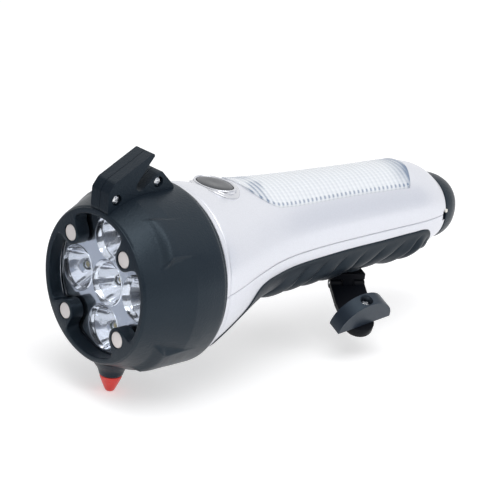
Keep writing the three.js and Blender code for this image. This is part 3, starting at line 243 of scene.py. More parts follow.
def piece(name, shape, material, body, stands_for=(), crease=34):
    """A solid that is seen: it has a material, rides on a body and may stand for CAD nodes."""
    thing = solid(name, shape, crease)
    thing.data.materials.append(material)
    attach(thing, body)
    if stands_for:
        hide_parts(*stands_for)
    return thing


def carve(thing, cutters, crease=34):
    """Cuts solids out of a piece for good, then removes them."""
    for tool in cutters:
        step = thing.modifiers.new("carve", "BOOLEAN")
        step.object = tool
        step.solver = "MANIFOLD"
    carved = thing.evaluated_get(bpy.context.evaluated_depsgraph_get())
    thing.data = bpy.data.meshes.new_from_object(carved)
    thing.modifiers.clear()
    for tool in cutters:
        bpy.data.objects.remove(tool)
    tidy_mesh(thing.data, crease)
    return thing


def square_to(axis):
    """A unit direction square to an axis: their cross product with the vertical or, where the axis stands up,
    with the torch's length."""
    aside = np.cross(axis, (0, 0, 1) if abs(axis[2]) < 0.9 else (1, 0, 0))
    return aside / np.linalg.norm(aside)


def turned(profile, sides, centre=(0, 0, 0), axis=(1, 0, 0)):
    """A turned shape: a profile of (station along the axis, radius) goes round the axis."""
    axis = np.asarray(axis, float) / np.linalg.norm(axis)
    aside = square_to(axis)
    third = np.cross(axis, aside)
    turn = np.linspace(0, 2 * math.pi, sides, endpoint=False)
    round_it = np.outer(np.cos(turn), aside) + np.outer(np.sin(turn), third)
    profile = np.asarray(profile, float)
    points = profile[:, None, 0:1] * axis + profile[:, None, 1:2] * round_it + np.asarray(centre, float)
    return points.reshape(-1, 3), grid_faces(len(profile), sides)


def smooth_step(value, low, high):
    """0 below a low value, 1 over a high one, and between them 3 times share squared less 2 share cubed."""
    share = np.clip((value - low) / (high - low), 0, 1)
    return share * share * (3 - 2 * share)


def band(value, low, high, last, end):
    """A smooth step up from 0 to 1 between two values, and back to 0 between two later ones."""
    return smooth_step(value, low, high) * (1 - smooth_step(value, last, end))


def read(table, at):
    """A two-column table's second column, read along straight lines at values of its first."""
    table = np.asarray(table, float)
    return np.interp(at, table[:, 0], table[:, 1])


def noise(tree, spot, **sizes):
    """Cloudy noise from 0 to 1 over a piece."""
    return node(tree, "ShaderNodeTexNoise", Vector=spot, **sizes).outputs["Fac"]


def shaded(tree, colour, level):
    """A colour made lighter or darker by a level."""
    made = node(tree, "ShaderNodeVectorMath", {"operation": "SCALE"}, Vector=colour[:3], Scale=level)
    return made.outputs["Vector"]


def object_spot(tree):
    """Where a point lies on its own piece, in metres."""
    return tree.nodes.new("ShaderNodeTexCoord").outputs["Object"]


def new_paint(name):
    """A new material, its node tree and its shader."""
    paint = bpy.data.materials.new(name)
    paint.use_nodes = True
    return paint, paint.node_tree, paint.node_tree.nodes["Principled BSDF"]


# The grain that all moulded pieces share: fine bumps of the mould's texture, faint flow clouds that shift the
# tone, and small changes of gloss where hands have polished it.
grain_group = bpy.data.node_groups.new("moulded_grain", "ShaderNodeTree")
for label, value in (("Grain", 0.1), ("Size", 2600.0), ("Cloud", 0.1)):
    grain_socket = grain_group.interface.new_socket(label, in_out="INPUT", socket_type="NodeSocketFloat")
    grain_socket.default_value = value
for label, kind in (("Tone", "NodeSocketFloat"), ("Gloss", "NodeSocketFloat"),
                    ("Normal", "NodeSocketVector")):
    grain_group.interface.new_socket(label, in_out="OUTPUT", socket_type=kind)
grain_in = grain_group.nodes.new("NodeGroupInput").outputs
spot = object_spot(grain_group)
fine = noise(grain_group, spot, Scale=grain_in["Size"], Detail=2.0, Roughness=0.6)
clouds = noise(grain_group, spot, Scale=42.0, Detail=3.0, Roughness=0.55)
smears = noise(grain_group, spot, Scale=190.0, Detail=4.0, Roughness=0.65, Distortion=0.6)
height = value_math(grain_group, "MULTIPLY", fine, grain_in["Grain"])
bump = node(grain_group, "ShaderNodeBump", Height=height, Strength=1.0, Distance=0.00006)
clouds = value_math(grain_group, "SUBTRACT", clouds, 0.5)
cloud = value_math(grain_group, "MULTIPLY", clouds, grain_in["Cloud"])
speck = value_math(grain_group, "MULTIPLY", value_math(grain_group, "SUBTRACT", fine, 0.5), 0.12)
tone = value_math(grain_group, "ADD", value_math(grain_group, "ADD", cloud, speck), 1.0)
gloss = value_math(grain_group, "MULTIPLY", value_math(grain_group, "SUBTRACT", smears, 0.5), 0.22)
node(grain_group, "NodeGroupOutput", Tone=tone, Gloss=gloss, Normal=bump.outputs["Normal"])


def plastic(name, colour, roughness, grain, size=2600.0, cloud=0.18, metallic=0.0, coat=0.0, shine=0.5,
            gloss_tint=(1, 1, 1, 1)):
    """A moulded plastic: its colour shaded by the grain's tone, its gloss broken up by the grain's smears."""
    paint, tree, shader = new_paint(name)
    texture = tree.nodes.new("ShaderNodeGroup")
    texture.node_tree = grain_group
    join(tree, texture, {"Grain": grain, "Size": size, "Cloud": cloud})
    join(tree, shader, {
        "Base Color": shaded(tree, colour, texture.outputs["Tone"]),
        "Roughness": value_math(tree, "ADD", texture.outputs["Gloss"], roughness),
        "Normal": texture.outputs["Normal"],
        "Metallic": metallic,
        "Specular IOR Level": shine,
        "Specular Tint": gloss_tint,
        "Coat Weight": coat,
        "Coat Roughness": 0.2,
    })
    return paint


def bezel_radius(x, turn):
    """The bezel's outer radius. The angle above or below the level picks between the side, top and underside
    profiles; inside a pad's curved edges the radius rises to the pad's own profile behind a crescent wall."""
    up = np.sin(turn)
    steep = np.degrees(np.arctan2(np.abs(up), np.abs(np.cos(turn))))
    crown = np.where(up > 0, read(TOP_PROFILE, x), read(UNDER_PROFILE, x))
    base = read(SIDE_PROFILE, x) + (crown - read(SIDE_PROFILE, x)) * smooth_step(steep, 30, 62)
    low_foot = read(PAD_LOW_FOOT, x)
    low_crest = np.maximum(read(PAD_LOW_CREST, x), low_foot + 1.2)
    high_crest = read(PAD_HIGH_CREST, x)
    inside = band(steep, low_foot, low_crest, high_crest, high_crest + 1.8)
    wall_foot = 8.0 + 2.0 * np.clip(1 - ((steep - 45) / 18) ** 2, 0, 1)
    behind = smooth_step(x, wall_foot, wall_foot + PAD_WALL)
    return base + np.maximum(read(PAD_PROFILE, x) - base, 0) * inside * behind - read(REAR_DROP, x)


def recess_radius(turn):
    """Distance from the axis to the wall of the front recess: the bore, but round a post near a diagonal."""
    off = np.degrees(np.abs(turn % (math.pi / 2) - math.pi / 4))
    near = np.radians(np.minimum(off, BOSS_HALF_ANGLE))
    aside = np.maximum(BOSS_RADIUS ** 2 - (MAGNET_REACH * np.sin(near)) ** 2, 0)
    post = MAGNET_REACH * np.cos(near) - np.sqrt(aside)
    return np.where(off < BOSS_HALF_ANGLE, post, read(POST_WEB, off))


def bezel_columns():
    """Angles of the columns, dense beside the posts and at the pads' edges, the same in each quarter."""
    half = np.concatenate([np.linspace(0, 11.2, 15),
                           [11.5, BOSS_HALF_ANGLE, 11.8, 11.95, 12.3, 12.8, 13.4, 14.4],
                           np.linspace(15.6, 45, 30)])
    quarter = np.concatenate([-half[:0:-1], half])[1:]
    return np.radians((quarter[None, :] + 45 + 90 * np.arange(4)[:, None]).ravel())


columns = bezel_columns()
wall_radius = recess_radius(columns)
whole = np.ones(len(columns))
rows = [(x, SEAT_RADIUS * whole) for x in (BEZEL_LENGTH, 24.0, RECESS_DEPTH)]
rows += [(x, wall_radius) for x in (RECESS_DEPTH, 4.0, 2.0, EDGE_ROUND)]
for angle in (0.33 * math.pi / 2, 0.66 * math.pi / 2, math.pi / 2):
    rows.append((EDGE_ROUND * (1 - math.sin(angle)), wall_radius + EDGE_ROUND * (1 - math.cos(angle))))
rows.append((0.0, (wall_radius + RIM_RADIUS) / 2))
for x in (0.0, 0.06, 0.25, RIM_LIP):
    edge = EDGE_ROUND * (1 - math.sqrt(max(0.0, 1 - (1 - x / RIM_LIP) ** 2)))
    rows.append((x, (RIM_RADIUS - edge) * whole))
outer_stations = np.concatenate([np.linspace(0.9, 26, 58), np.linspace(28, 38, 5),
                                 [38.6, 39.2, 39.6, 40.0, 40.2, 40.35, 40.5, 41.6]])
rows += [(x, bezel_radius(x, columns)) for x in outer_stations]
rows += [(x, radius * whole) for x, radius in REAR_STEPS]
rows.append(rows[0])
bezel_points = np.array([np.stack([x * whole, radius * np.cos(columns), radius * np.sin(columns)], -1)
                         for x, radius in rows])
satin_black = plastic("satin_black_abs", SATIN_BLACK, 0.36, 2.6, size=1350, shine=0.36, gloss_tint=COOL_GLOSS)
bezel = piece("bezel_skin", (bezel_points.reshape(-1, 3), grid_faces(len(rows), len(columns))), satin_black,
              "torch", ["bezel"], crease=40)
aslant = MAGNET_REACH * math.sqrt(0.5)
MAGNET_SPOTS = [(side * aslant, level * aslant) for side, level in ((1, 1), (-1, 1), (-1, -1), (1, -1))]
pocket = [(-2, 0), (-2, POCKET_RADIUS), (POCKET_DEPTH, POCKET_RADIUS), (POCKET_DEPTH, 0)]
carve(bezel, [solid("pocket", turned(pocket, 48, (0, y, z))) for y, z in MAGNET_SPOTS], crease=40)

# Magnets: four nickel-plated discs, pressed into the posts a hair below the rim, their edges turned off
# round. The plating has fine scratches and a few fingerprints.
MAGNET_NICKEL = (0.86, 0.81, 0.79, 1)
MAGNET_RADIUS = 3.6


def eased_corner(before, corner, after, reach, steps):
    """A corner as a curve: each point is weighted by the squares and the product of its two shares."""
    start = corner + (before - corner) / np.linalg.norm(before - corner) * reach
    end = corner + (after - corner) / np.linalg.norm(after - corner) * reach
    share = np.linspace(0, 1, steps + 1)[:, None]
    return (1 - share) ** 2 * start + 2 * share * (1 - share) * corner + share ** 2 * end


def rounded(profile, radius, steps=3):
    """An open profile with its inner corners rounded off by a radius, or by a third of a short side."""
    profile = np.asarray(profile, float)
    out = [profile[:1]]
    for before, corner, after in zip(profile, profile[1:], profile[2:]):
        reach = min(radius, np.linalg.norm(before - corner) / 3, np.linalg.norm(after - corner) / 3)
        out.append(eased_corner(before, corner, after, reach, steps))
    return np.vstack(out + [profile[-1:]])


def spread(tree, source, low, high, start=0.0):
    """A socket's values from a start up to 1, spread between two levels."""
    made = node(tree, "ShaderNodeMapRange", Value=source, From_Min=start, To_Min=low, To_Max=high)
    return made.outputs["Result"]


def bumped(tree, height, strength, distance):
    """A normal that follows a height."""
    return node(tree, "ShaderNodeBump", Height=height, Strength=strength, Distance=distance).outputs["Normal"]


def bare_metal(name, colour, roughness, scratch, metallic=1.0):
    """Plated or bare metal: broad faint smears of gloss and tone, and short fine scratches in the normal."""
    paint, tree, shader = new_paint(name)
    spot = object_spot(tree)
    stretch = node(tree, "ShaderNodeMapping", Vector=spot, Scale=(1.0, 0.16, 0.16))
    lines = noise(tree, stretch.outputs["Vector"], Scale=5200.0, Detail=3.0, Roughness=0.7)
    smears = noise(tree, spot, Scale=240.0, Detail=4.0, Roughness=0.6)
    join(tree, shader, {
        "Base Color": shaded(tree, colour, spread(tree, smears, 0.9, 1.05)),
        "Roughness": spread(tree, smears, roughness - 0.08, roughness + 0.12),
        "Normal": bumped(tree, lines, scratch, 0.00003),
        "Metallic": metallic,
    })
    return paint


nickel = bare_metal("magnet_nickel_plate", MAGNET_NICKEL, 0.5, 0.3, 0.45)
disc_profile = rounded([(3.1, 0), (3.1, MAGNET_RADIUS), (0.3, MAGNET_RADIUS), (0.3, 0)], 0.25)
for number, (y, z) in enumerate(MAGNET_SPOTS, 1):
    piece(f"magnet_disc_{number}", turned(disc_profile, 48, (0, y, z)), nickel, "torch",
          [f"magnet_{number}"])

# Front lens: a clear polycarbonate disc behind the recess, held by the seat. It is thin, faintly blue, and
# has a little dust and the odd wipe mark, which dull its gloss in streaks.
LENS_FRONT = 6.7
LENS_THICKNESS = 1.2
STACK_RADIUS = 32.1
CLEAR_TINT = (0.93, 0.96, 1.0, 1)


def clear_plastic(name, tint, roughness, dust, through=1.0):
    """A clear moulding: its dust and wipe marks only change how sharp its gloss is."""
    paint, tree, shader = new_paint(name)
    marks = noise(tree, object_spot(tree), Scale=150.0, Detail=5.0, Roughness=0.7, Distortion=1.2)
    join(tree, shader, {
        "Base Color": tint,
        "Roughness": spread(tree, marks, roughness, roughness + dust, start=0.45),
        "IOR": 1.46,
        "Transmission Weight": through,
    })
    return paint


clear_lens = clear_plastic("clear_front_lens", CLEAR_TINT, 0.015, 0.05)
lens_rear = LENS_FRONT + LENS_THICKNESS
lens_profile = [(lens_rear, 0), (lens_rear, STACK_RADIUS), (LENS_FRONT, STACK_RADIUS), (LENS_FRONT, 0)]
piece("front_lens_disc", turned(rounded(lens_profile, 0.2), 96), clear_lens, "torch",
      ["front_lens"])

# Reflector: one vacuum-metallised moulding with five bowls. Each has a proud rim, a narrow cone and a deep
# paraboloid; flat webs fill the plate between them. The coat has faint ripples and patches of grey haze.
CHROME = (0.86, 0.87, 0.90, 1)
REFLECTOR_FRONT = 8.2
BOWL_PITCH = 20.4
BOWL_DEPTH = 12.0
BOWL_MOUTH = 8.7
BOWL_LIP = 1.7
LAMP_HOLE = 2.9
BOWL_RIM = [(9.7, 8.9), (8.6, 9.5), (8.0, 9.85), (7.95, 10.1), (8.15, 10.35), (9.0, 10.4)]
BOWL_SPOTS = [(0, 0), (BOWL_PITCH, 0), (0, BOWL_PITCH), (-BOWL_PITCH, 0), (0, -BOWL_PITCH)]


def mirror_coat():
    """A metallised coat: its ripples bend the normal a little, and its haze roughens patches of it."""
    paint, tree, shader = new_paint("mirror_coat")
    spot = object_spot(tree)
    ripple = noise(tree, spot, Scale=120.0, Detail=2.0, Roughness=0.5)
    haze = noise(tree, spot, Scale=330.0, Detail=4.0, Roughness=0.65)
    join(tree, shader, {
        "Base Color": CHROME,
        "Roughness": spread(tree, haze, 0.03, 0.17),
        "Normal": bumped(tree, ripple, 0.35, 0.0006),
        "Metallic": 1.0,
    })
    return paint


def bowl_profile():
    """One bowl's closed wall from the lamp hole out to the rim and back behind it, as (station, radius). Its
    depth falls with the square of the radius."""
    radius = np.linspace(LAMP_HOLE, BOWL_MOUTH, 22)
    deep = REFLECTOR_FRONT + BOWL_LIP + (BOWL_DEPTH - BOWL_LIP) * (1 - (radius / BOWL_MOUTH) ** 2)
    inner = np.column_stack([deep, radius])
    return np.vstack([inner, BOWL_RIM, inner[::-1] + (0.95, 0.75), inner[:1]])


chrome = mirror_coat()
for number, (y, z) in enumerate(BOWL_SPOTS, 1):
    stands_for = ["reflector"] if number == 1 else []
    bowl = turned(bowl_profile(), 72, (0, y, z))
    piece(f"reflector_bowl_{number}", bowl, chrome, "torch", stands_for, crease=30)
plate_profile = [(9.6, 0), (9.6, STACK_RADIUS), (8.5, STACK_RADIUS), (8.3, 31.6), (8.3, 0)]
plate = piece("reflector_plate", turned(plate_profile, 96), chrome, "torch")
bowl_hole = [(0, 0), (0, 10.15), (20, 10.15), (20, 0)]
carve(plate, [solid("bowl_hole", turned(bowl_hole, 72, (0, y, z))) for y, z in BOWL_SPOTS])

# Head lamps: five clear epoxy lamps with a round nose and a foot flange. Inside each, a steel cup on its post
# holds the yellow chip under the epoxy.
LAMP_RADIUS = 2.5
LAMP_FOOT = 21.0
LAMP_NOSE = LAMP_FOOT - 8.6
LAMP_YELLOW = (0.66, 0.55, 0.26, 1)
CUP_PROFILE = [(15.4, 0), (15.4, 0.55), (14.6, 0.95), (14.5, 1.05), (15.5, 1.05), (15.9, 0.4), (20.9, 0.4),
               (20.9, 0)]
CHIP_PROFILE = [(15.35, 0), (15.3, 0.5), (14.75, 0.8), (14.6, 0)]
clear_lamp = clear_plastic("clear_lamp_epoxy", (0.97, 0.98, 1.0, 1), 0.02, 0.04)
steel = bare_metal("bright_steel", (0.72, 0.73, 0.75, 1), 0.22, 0.12)
chip_yellow = plastic("lamp_chip_phosphor", LAMP_YELLOW, 0.6, 0.5, size=9000.0)
bend = np.linspace(0, math.pi / 2, 12)
nose = np.column_stack([LAMP_NOSE + LAMP_RADIUS * (1 - np.cos(bend)), LAMP_RADIUS * np.sin(bend)])
lamp_profile = np.vstack([nose, [(20.4, LAMP_RADIUS), (20.5, 3.0), (LAMP_FOOT, 3.0), (LAMP_FOOT, 0)]])
for number, (y, z) in enumerate(BOWL_SPOTS, 1):
    piece(f"head_lamp_dome_{number}", turned(lamp_profile, 40, (0, y, z)), clear_lamp, "torch",
          [f"head_lamp_{number}"])
    piece(f"head_lamp_cup_{number}", turned(CUP_PROFILE, 24, (0, y, z)), steel, "torch")
    piece(f"head_lamp_chip_{number}", turned(CHIP_PROFILE, 24, (0, y, z)), chip_yellow, "torch")

# Lamp board and its retaining ring: hidden behind the reflector, so they keep the CAD's shapes. The board is
# green lacquered laminate with copper tracks showing as lighter bands; the ring is natural nylon.


def circuit_board(name, lacquer, track):
    """Lacquered laminate: a grid of tracks under the lacquer shows in straight bands."""
    paint, tree, shader = new_paint(name)
    spot = object_spot(tree)
    darker = (*(0.86 * c for c in lacquer[:3]), 1)
    cells = node(tree, "ShaderNodeTexBrick", Vector=spot, Scale=420.0, Color1=lacquer, Color2=darker,
                 Mortar=track, Mortar_Size=0.06)
    join(tree, shader, {
        "Base Color": cells.outputs["Color"],
        "Roughness": spread(tree, noise(tree, spot, Scale=2400.0), 0.3, 0.55),
    })
    return paint


def paint_cad(paint, slot, *names):
    """Gives CAD nodes that stay in view a material, and leaves their meshes as they are."""
    for name in names:
        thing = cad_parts[name]
        thing.data.materials.clear()
        thing.data.materials.append(paint)


green_board = circuit_board("green_board", (0.035, 0.12, 0.05, 1), (0.06, 0.19, 0.08, 1))
white_nylon = plastic("white_nylon", (0.80, 0.78, 0.72, 1), 0.5, 0.25, cloud=0.08)
paint_cad(green_board, "board_green", "lamp_board", "control_board")
paint_cad(white_nylon, "white_nylon", "lamp_ring")

# Window hammer: a black moulded foot flares out of the bezel's underside, a steel point stands in it, and a
# signal red cap with a rounded nose pulls off the point. The cap is softer and glossier than the bezel.
HAMMER_STATION = 14.0
FOOT_END = -44.0
CAP_RADIUS = 4.95
CAP_BOTTOM = -52.1
CAP_NOSE = [(CAP_BOTTOM, 1.1), (-51.95, 1.62), (-51.5, 2.1), (-50.15, 2.78), (-47.8, 3.86), (-45.6, 4.78)]
CAP_INSIDE = [(-45.2, CAP_RADIUS), (-44.5, CAP_RADIUS), (-44.32, 4.8), (-44.3, 3.7), (-46.9, 3.5),
              (-50.0, 1.5), (-50.1, 0)]
FOOT_FLARE = [(-36.5, 9.4), (-38.6, 8.0), (-41.0, 6.3), (-43.3, 5.45)]
FOOT_SOCKET = [(-43.75, 5.3), (FOOT_END, 5.0), (FOOT_END, 2.75), (-42, 2.7), (-42, 0)]
POINT_PROFILE = [(-49.8, 0), (-49.8, 0.4), (-46.6, 2.4), (-40.6, 2.4), (-40.6, 1.6), (-36.6, 1.6), (-36.6, 0)]
SIGNAL_RED = (0.95, 0.058, 0.045, 1)


def smooth_curve(points, steps=6):
    """A smooth line through points of two or more numbers: each span is a cubic by its neighbours' slopes."""
    points = np.asarray(points, float)
    padded = np.vstack([2 * points[0] - points[1], points, 2 * points[-1] - points[-2]])
    share = np.linspace(0, 1, steps, endpoint=False)[:, None]
    spans = []
    for a, b, c, d in zip(padded, padded[1:], padded[2:], padded[3:]):
        spans.append(0.5 * (2 * b + (c - a) * share + (2 * a - 5 * b + 4 * c - d) * share ** 2
                            + (3 * b - a - 3 * c + d) * share ** 3))
    return np.vstack(spans + [points[-1:]])


hammer_axis = ((HAMMER_STATION, 0, 0), (0, 0, 1))
foot_profile = np.vstack([[(-36.5, 0)], smooth_curve(FOOT_FLARE), FOOT_SOCKET])
piece("hammer_socket", turned(foot_profile, 64, *hammer_axis), satin_black, "torch",
      ["hammer_foot"])
red_cap_paint = plastic("signal_red_cap", SIGNAL_RED, 0.3, 0.12, size=1800.0, cloud=0.12, coat=0.25)
cap_profile = np.vstack([[(CAP_BOTTOM, 0)], smooth_curve(CAP_NOSE, 5), CAP_INSIDE])
piece("hammer_red_cap", turned(cap_profile, 64, *hammer_axis), red_cap_paint, "torch",
      ["hammer_cap"])
piece("hammer_steel_point", turned(rounded(POINT_PROFILE, 0.2), 32, *hammer_axis), steel, "torch",
      ["hammer_point"])

# Belt cutter: two black moulded halves screwed together round a small steel blade. The hook and the nose
# leave a slanting slot; all moulded edges are softened, and a parting line runs between the halves.
CUTTER_LENGTH = 35.5
CUTTER_HEIGHT = 17.1
CUTTER_BASE = 41.0
CUTTER_HALF_WIDTH = 5.8
PARTING_GAP = 0.12
# Outlines, screws and blade in shares of the cutter's length and height
CUTTER_OUTLINE = [(0.03, -0.46), (0, -0.36), (0, 0.146), (0.082, 0.386), (0.637, 1), (0.665, 0.936),
                  (0.586, 0.725), (0.428, 0.292), (0.408, 0.211), (0.424, 0.103), (0.468, 0.058),
                  (0.515, 0.094), (0.735, 0.462), (0.789, 0.503), (1, 0.047), (0.99, -0.117), (0.97, -0.2)]
CUTTER_SCREWS = [(0.13, -0.07), (0.75, 0.222)]
BLADE_OUTLINE = [(0.411, 0.474), (0.592, 0.123), (0.544, 0.05), (0.451, 0.047), (0.349, 0.339)]
SCREW_ROOM = [(-9, 0), (-9, 2.5), (-3.7, 2.5), (-3.7, 0)]
SCREW_SEAT = -4.1


def cutter_plane(shares):
    """Shares of the cutter's length and height as stations and levels in millimetres."""
    return np.asarray(shares, float) * (CUTTER_LENGTH, CUTTER_HEIGHT) + (0, CUTTER_BASE)


def prism(outline, low, high, across="y"):
    """A flat outline carried between two levels along one axis, with flat n-sided ends."""
    outline = np.asarray(outline, float)
    count = len(outline)
    first, second, along = {"y": (0, 2, 1), "z": (0, 1, 2)}[across]
    points = np.zeros((2 * count, 3))
    points[:, first] = np.tile(outline[:, 0], 2)
    points[:, second] = np.tile(outline[:, 1], 2)
    points[:, along] = np.repeat([low, high], count)
    ends = [list(range(count)), list(range(2 * count - 1, count - 1, -1))]
    return points, grid_faces(2, count).tolist() + ends


def soften(thing, width, segments=3, over=28):
    """Rounds the edges of a piece that turn by more than an angle."""
    bevel = thing.modifiers.new("soften", "BEVEL")
    bevel.width = width / 1000
    bevel.segments = segments
    bevel.limit_method = "ANGLE"
    bevel.angle_limit = math.radians(over)
    bevel.use_clamp_overlap = True
    bevel.harden_normals = True


def rounded_outline(corners, radius, steps=4):
    """A closed flat outline with each corner rounded off, by less where its sides are short."""
    corners = np.asarray(corners, float)
    out = []
    for before, corner, after in zip(np.roll(corners, 1, 0), corners, np.roll(corners, -1, 0)):
        reach = min(radius, 0.4 * np.linalg.norm(before - corner), 0.4 * np.linalg.norm(after - corner))
        out.append(eased_corner(before, corner, after, reach, steps))
    return np.vstack(out)


def screw_head(name, spot, axis, radius, rise, body, turn, stands_for=()):
    """A pan-head screw seen from outside: a domed head with a cross recess, at a spot on its seat. The dome's
    radius grows with the 0.8th power of the sine of its slope."""
    axis = np.asarray(axis, float) / np.linalg.norm(axis)
    slope = np.linspace(math.pi / 2, 0, 9)[1:]
    dome = np.column_stack([rise * np.cos(slope), radius * np.sin(slope) ** 0.8])
    profile = np.vstack([[(-0.2, 0), (-0.2, radius - 0.1), (0, radius)], dome])
    head = piece(name, turned(profile, 40, spot, axis), steel, body, stands_for, crease=40)
    aside = square_to(axis)
    along = math.cos(turn) * aside + math.sin(turn) * np.cross(axis, aside)
    faces = [[0, 1, 2, 3], [7, 6, 5, 4], [0, 4, 5, 1], [1, 5, 6, 2], [2, 6, 7, 3], [3, 7, 4, 0]]
    tools = []
    for arm in (along, np.cross(axis, along)):
        wide = np.cross(axis, arm)
        corners = [np.asarray(spot) + a * 0.58 * radius * arm + b * 0.17 * radius * wide + depth * axis
                   for depth in (0.25 * rise, rise + 1) for a, b in ((-1, -1), (1, -1), (1, 1), (-1, 1))]
        tools.append(solid("cross", (np.array(corners), faces)))
    return carve(head, tools, crease=40)


cutter_black = plastic("cutter_black", SATIN_BLACK, 0.36, 2.6, size=1350, shine=0.22, gloss_tint=COOL_GLOSS)
cutter_outline = rounded_outline(cutter_plane(CUTTER_OUTLINE), 0.9)
blade_outline = cutter_plane(BLADE_OUTLINE)
screw_spots = cutter_plane(CUTTER_SCREWS)
for side, name in ((-1, "left"), (1, "right")):
    low, high = sorted((side * PARTING_GAP, side * CUTTER_HALF_WIDTH))
    half = piece(f"cutter_half_{name}", prism(cutter_outline, low, high), cutter_black, "torch",
                 [f"cutter_housing_{name}"], crease=30)
    tools = [solid("blade_room", prism(rounded_outline(blade_outline, 0.2), -0.5, 0.5))]
    if side < 0:
        tools += [solid("screw_room", turned(SCREW_ROOM, 48, (x, 0, z), (0, 1, 0))) for x, z in screw_spots]
    soften(carve(half, tools, crease=30), 0.45)
blade = piece("cutter_steel_blade", prism(rounded_outline(blade_outline, 0.3), -0.25, 0.25), steel, "torch",
              ["cutter_blade"])
soften(blade, 0.12, 2)
for number, (x, z) in enumerate(screw_spots, 1):
    seat = (x, SCREW_SEAT, z)
    screw_head(f"cutter_screw_head_{number}", seat, (0, -1, 0), 2.2, 1.1, "torch", number - 0.5,
               [f"cutter_screw_{number}"])

# Body shells: an upper and a lower half moulding in ABS, lacquered pearl silver, meeting at a fine seam
# along the side. The head end flares to the bezel; the top has openings for the button and the area lens,
# and the left side has a strap slot at the rear. A ring of the same lacquer fills the bezel's rear groove.
PEARL_SILVER = (0.72, 0.735, 0.79, 1)
# Rows: station, top, bottom, half width, level of the widest place
BODY_TABLE = np.array([
    [42.2, 38.6, -38.6, 38.6, 0], [50, 37.9, -33.5, 37.2, -0.5], [60, 36.2, -27.0, 34.4, -0.5],
    [70, 35.5, -20.9, 31.2, 0], [77, 35.3, -18.1, 29, 0.8], [83, 34.9, -17.1, 27.2, 1.4],
    [88, 34.6, -16.8, 25.8, 2], [96, 34.1, -17, 24, 2.7], [108, 33.5, -17, 22.3, 3.5],
    [122, 32.9, -17, 21.2, 4.1], [140, 32, -17, 20.6, 4.9], [160, 31.1, -16.6, 20.3, 5.3],
    [176, 30.5, -16.2, 20.1, 5.5], [188, 29.2, -15.2, 19.7, 5.6], [197, 26.0, -13.6, 18.3, 5.4],
    [203.8, 20.9, -11.8, 16.6, 5.0],
])
BODY_FRONT, BODY_REAR = BODY_TABLE[0, 0], BODY_TABLE[-1, 0]
BODY_ROUNDNESS = 2.15
# The seam's level by station
SEAM = [(26, -2), (42.2, 0.1), (50.8, 1.5), (63.8, 3.3), (72.2, 4.1), (82, 4.9), (99, 5.05), (150, 5.2),
        (220, 5.4)]
SEAM_GAP = 0.07
SHELL_WALL = 2.0
# How far the skin stands proud by station: a raised lip behind the bezel, then a shallow groove, then the
# plain body, and an eased rear edge
SHELL_PROUD = [(BODY_FRONT, -0.25), (42.45, 0.05), (42.8, 0.15), (44.1, 0.15), (44.4, 0.0), (44.65, -0.35),
               (44.95, -0.35), (45.25, -0.1), (45.6, 0), (203.2, 0), (203.55, -0.08), (BODY_REAR, -0.35)]
# The same by share of the way round, next to the seam
EDGE_PROUD = np.array([(0, -0.32), (0.0016, -0.12), (0.004, -0.03), (0.008, 0)])
BUTTON_STATION = 64.5
BUTTON_HALF = np.array([6.0, 10.0])
COLLAR_HOLE = 1.8
OVAL_SIDES = 96
# Right half of the lens's edge, from the nose to the middle of its bowed rear: station and half width
LENS_EDGE = smooth_curve([(76.6, 0), (76.75, 4), (77.2, 7.7), (78.4, 11.1), (80.6, 13.8), (84, 16),
                          (88.5, 17.1), (94, 16.9), (104, 16.3), (118, 15.6), (133, 15.2), (150, 15.1),
                          (165, 15.2), (174.8, 15.4), (176.7, 14.9), (178, 13.5), (180.4, 9.6),
                          (182.2, 5), (182.9, 0)])
LENS_FRONT_END, LENS_REAR_END = LENS_EDGE[0, 0], LENS_EDGE[-1, 0]
LENS_PLAY = 0.12
CRANK_STATION = 153.6
CRANK_HOLE = 8.3
STRAP_SLOT = [(201.2, 2.4), (204.6, 2.4), (204.6, 7.2), (201.2, 7.2)]
NECK_PROFILE = [(36.4, 34.7), (36.4, 37.0), (36.7, 37.2), (42.6, 37.2), (42.6, 34.7), (36.4, 34.7)]


def smooth_read(table, at):
    """Reads a table's columns at stations along smooth lines whose slopes follow the neighbouring rows."""
    table = np.asarray(table, float)
    at = np.clip(np.asarray(at, float), table[0, 0], table[-1, 0])
    slopes = np.gradient(table[:, 1:], table[:, 0], axis=0)
    row = np.clip(np.searchsorted(table[:, 0], at, side="right") - 1, 0, len(table) - 2)
    width = (table[row + 1, 0] - table[row, 0])[..., None]
    share = (at - table[row, 0])[..., None] / width
    back, on = table[row, 1:], table[row + 1, 1:]
    rise = (2 * share ** 3 - 3 * share ** 2 + 1) * back + (3 * share ** 2 - 2 * share ** 3) * on
    lean = (share ** 3 - 2 * share ** 2 + share) * slopes[row] + (share ** 3 - share ** 2) * slopes[row + 1]
    return np.moveaxis(rise + width * lean, -1, 0)


def body_section(section, turn, proud=0.0):
    """Across and up of a rounded section: the powers of sine and cosine are two over its roundness."""
    top, bottom, half_width, widest = section
    across, up = np.cos(turn), np.sin(turn)
    reach = np.where(up > 0, top - widest, widest - bottom) + proud
    y = np.sign(across) * (half_width + proud) * np.abs(across) ** (2 / BODY_ROUNDNESS)
    return y, np.sign(up) * reach * np.abs(up) ** (2 / BODY_ROUNDNESS)


def body_point(station, turn, proud=0.0):
    """Points of the body's skin: the section that the table gives at a station, read at a turn, and moved out
    by how far it stands proud."""
    station, turn, proud = np.broadcast_arrays(station, turn, proud)
    section = smooth_read(BODY_TABLE, station)
    across, rise = body_section(section, turn, proud)
    return np.stack([station, across, section[3] + rise], -1)


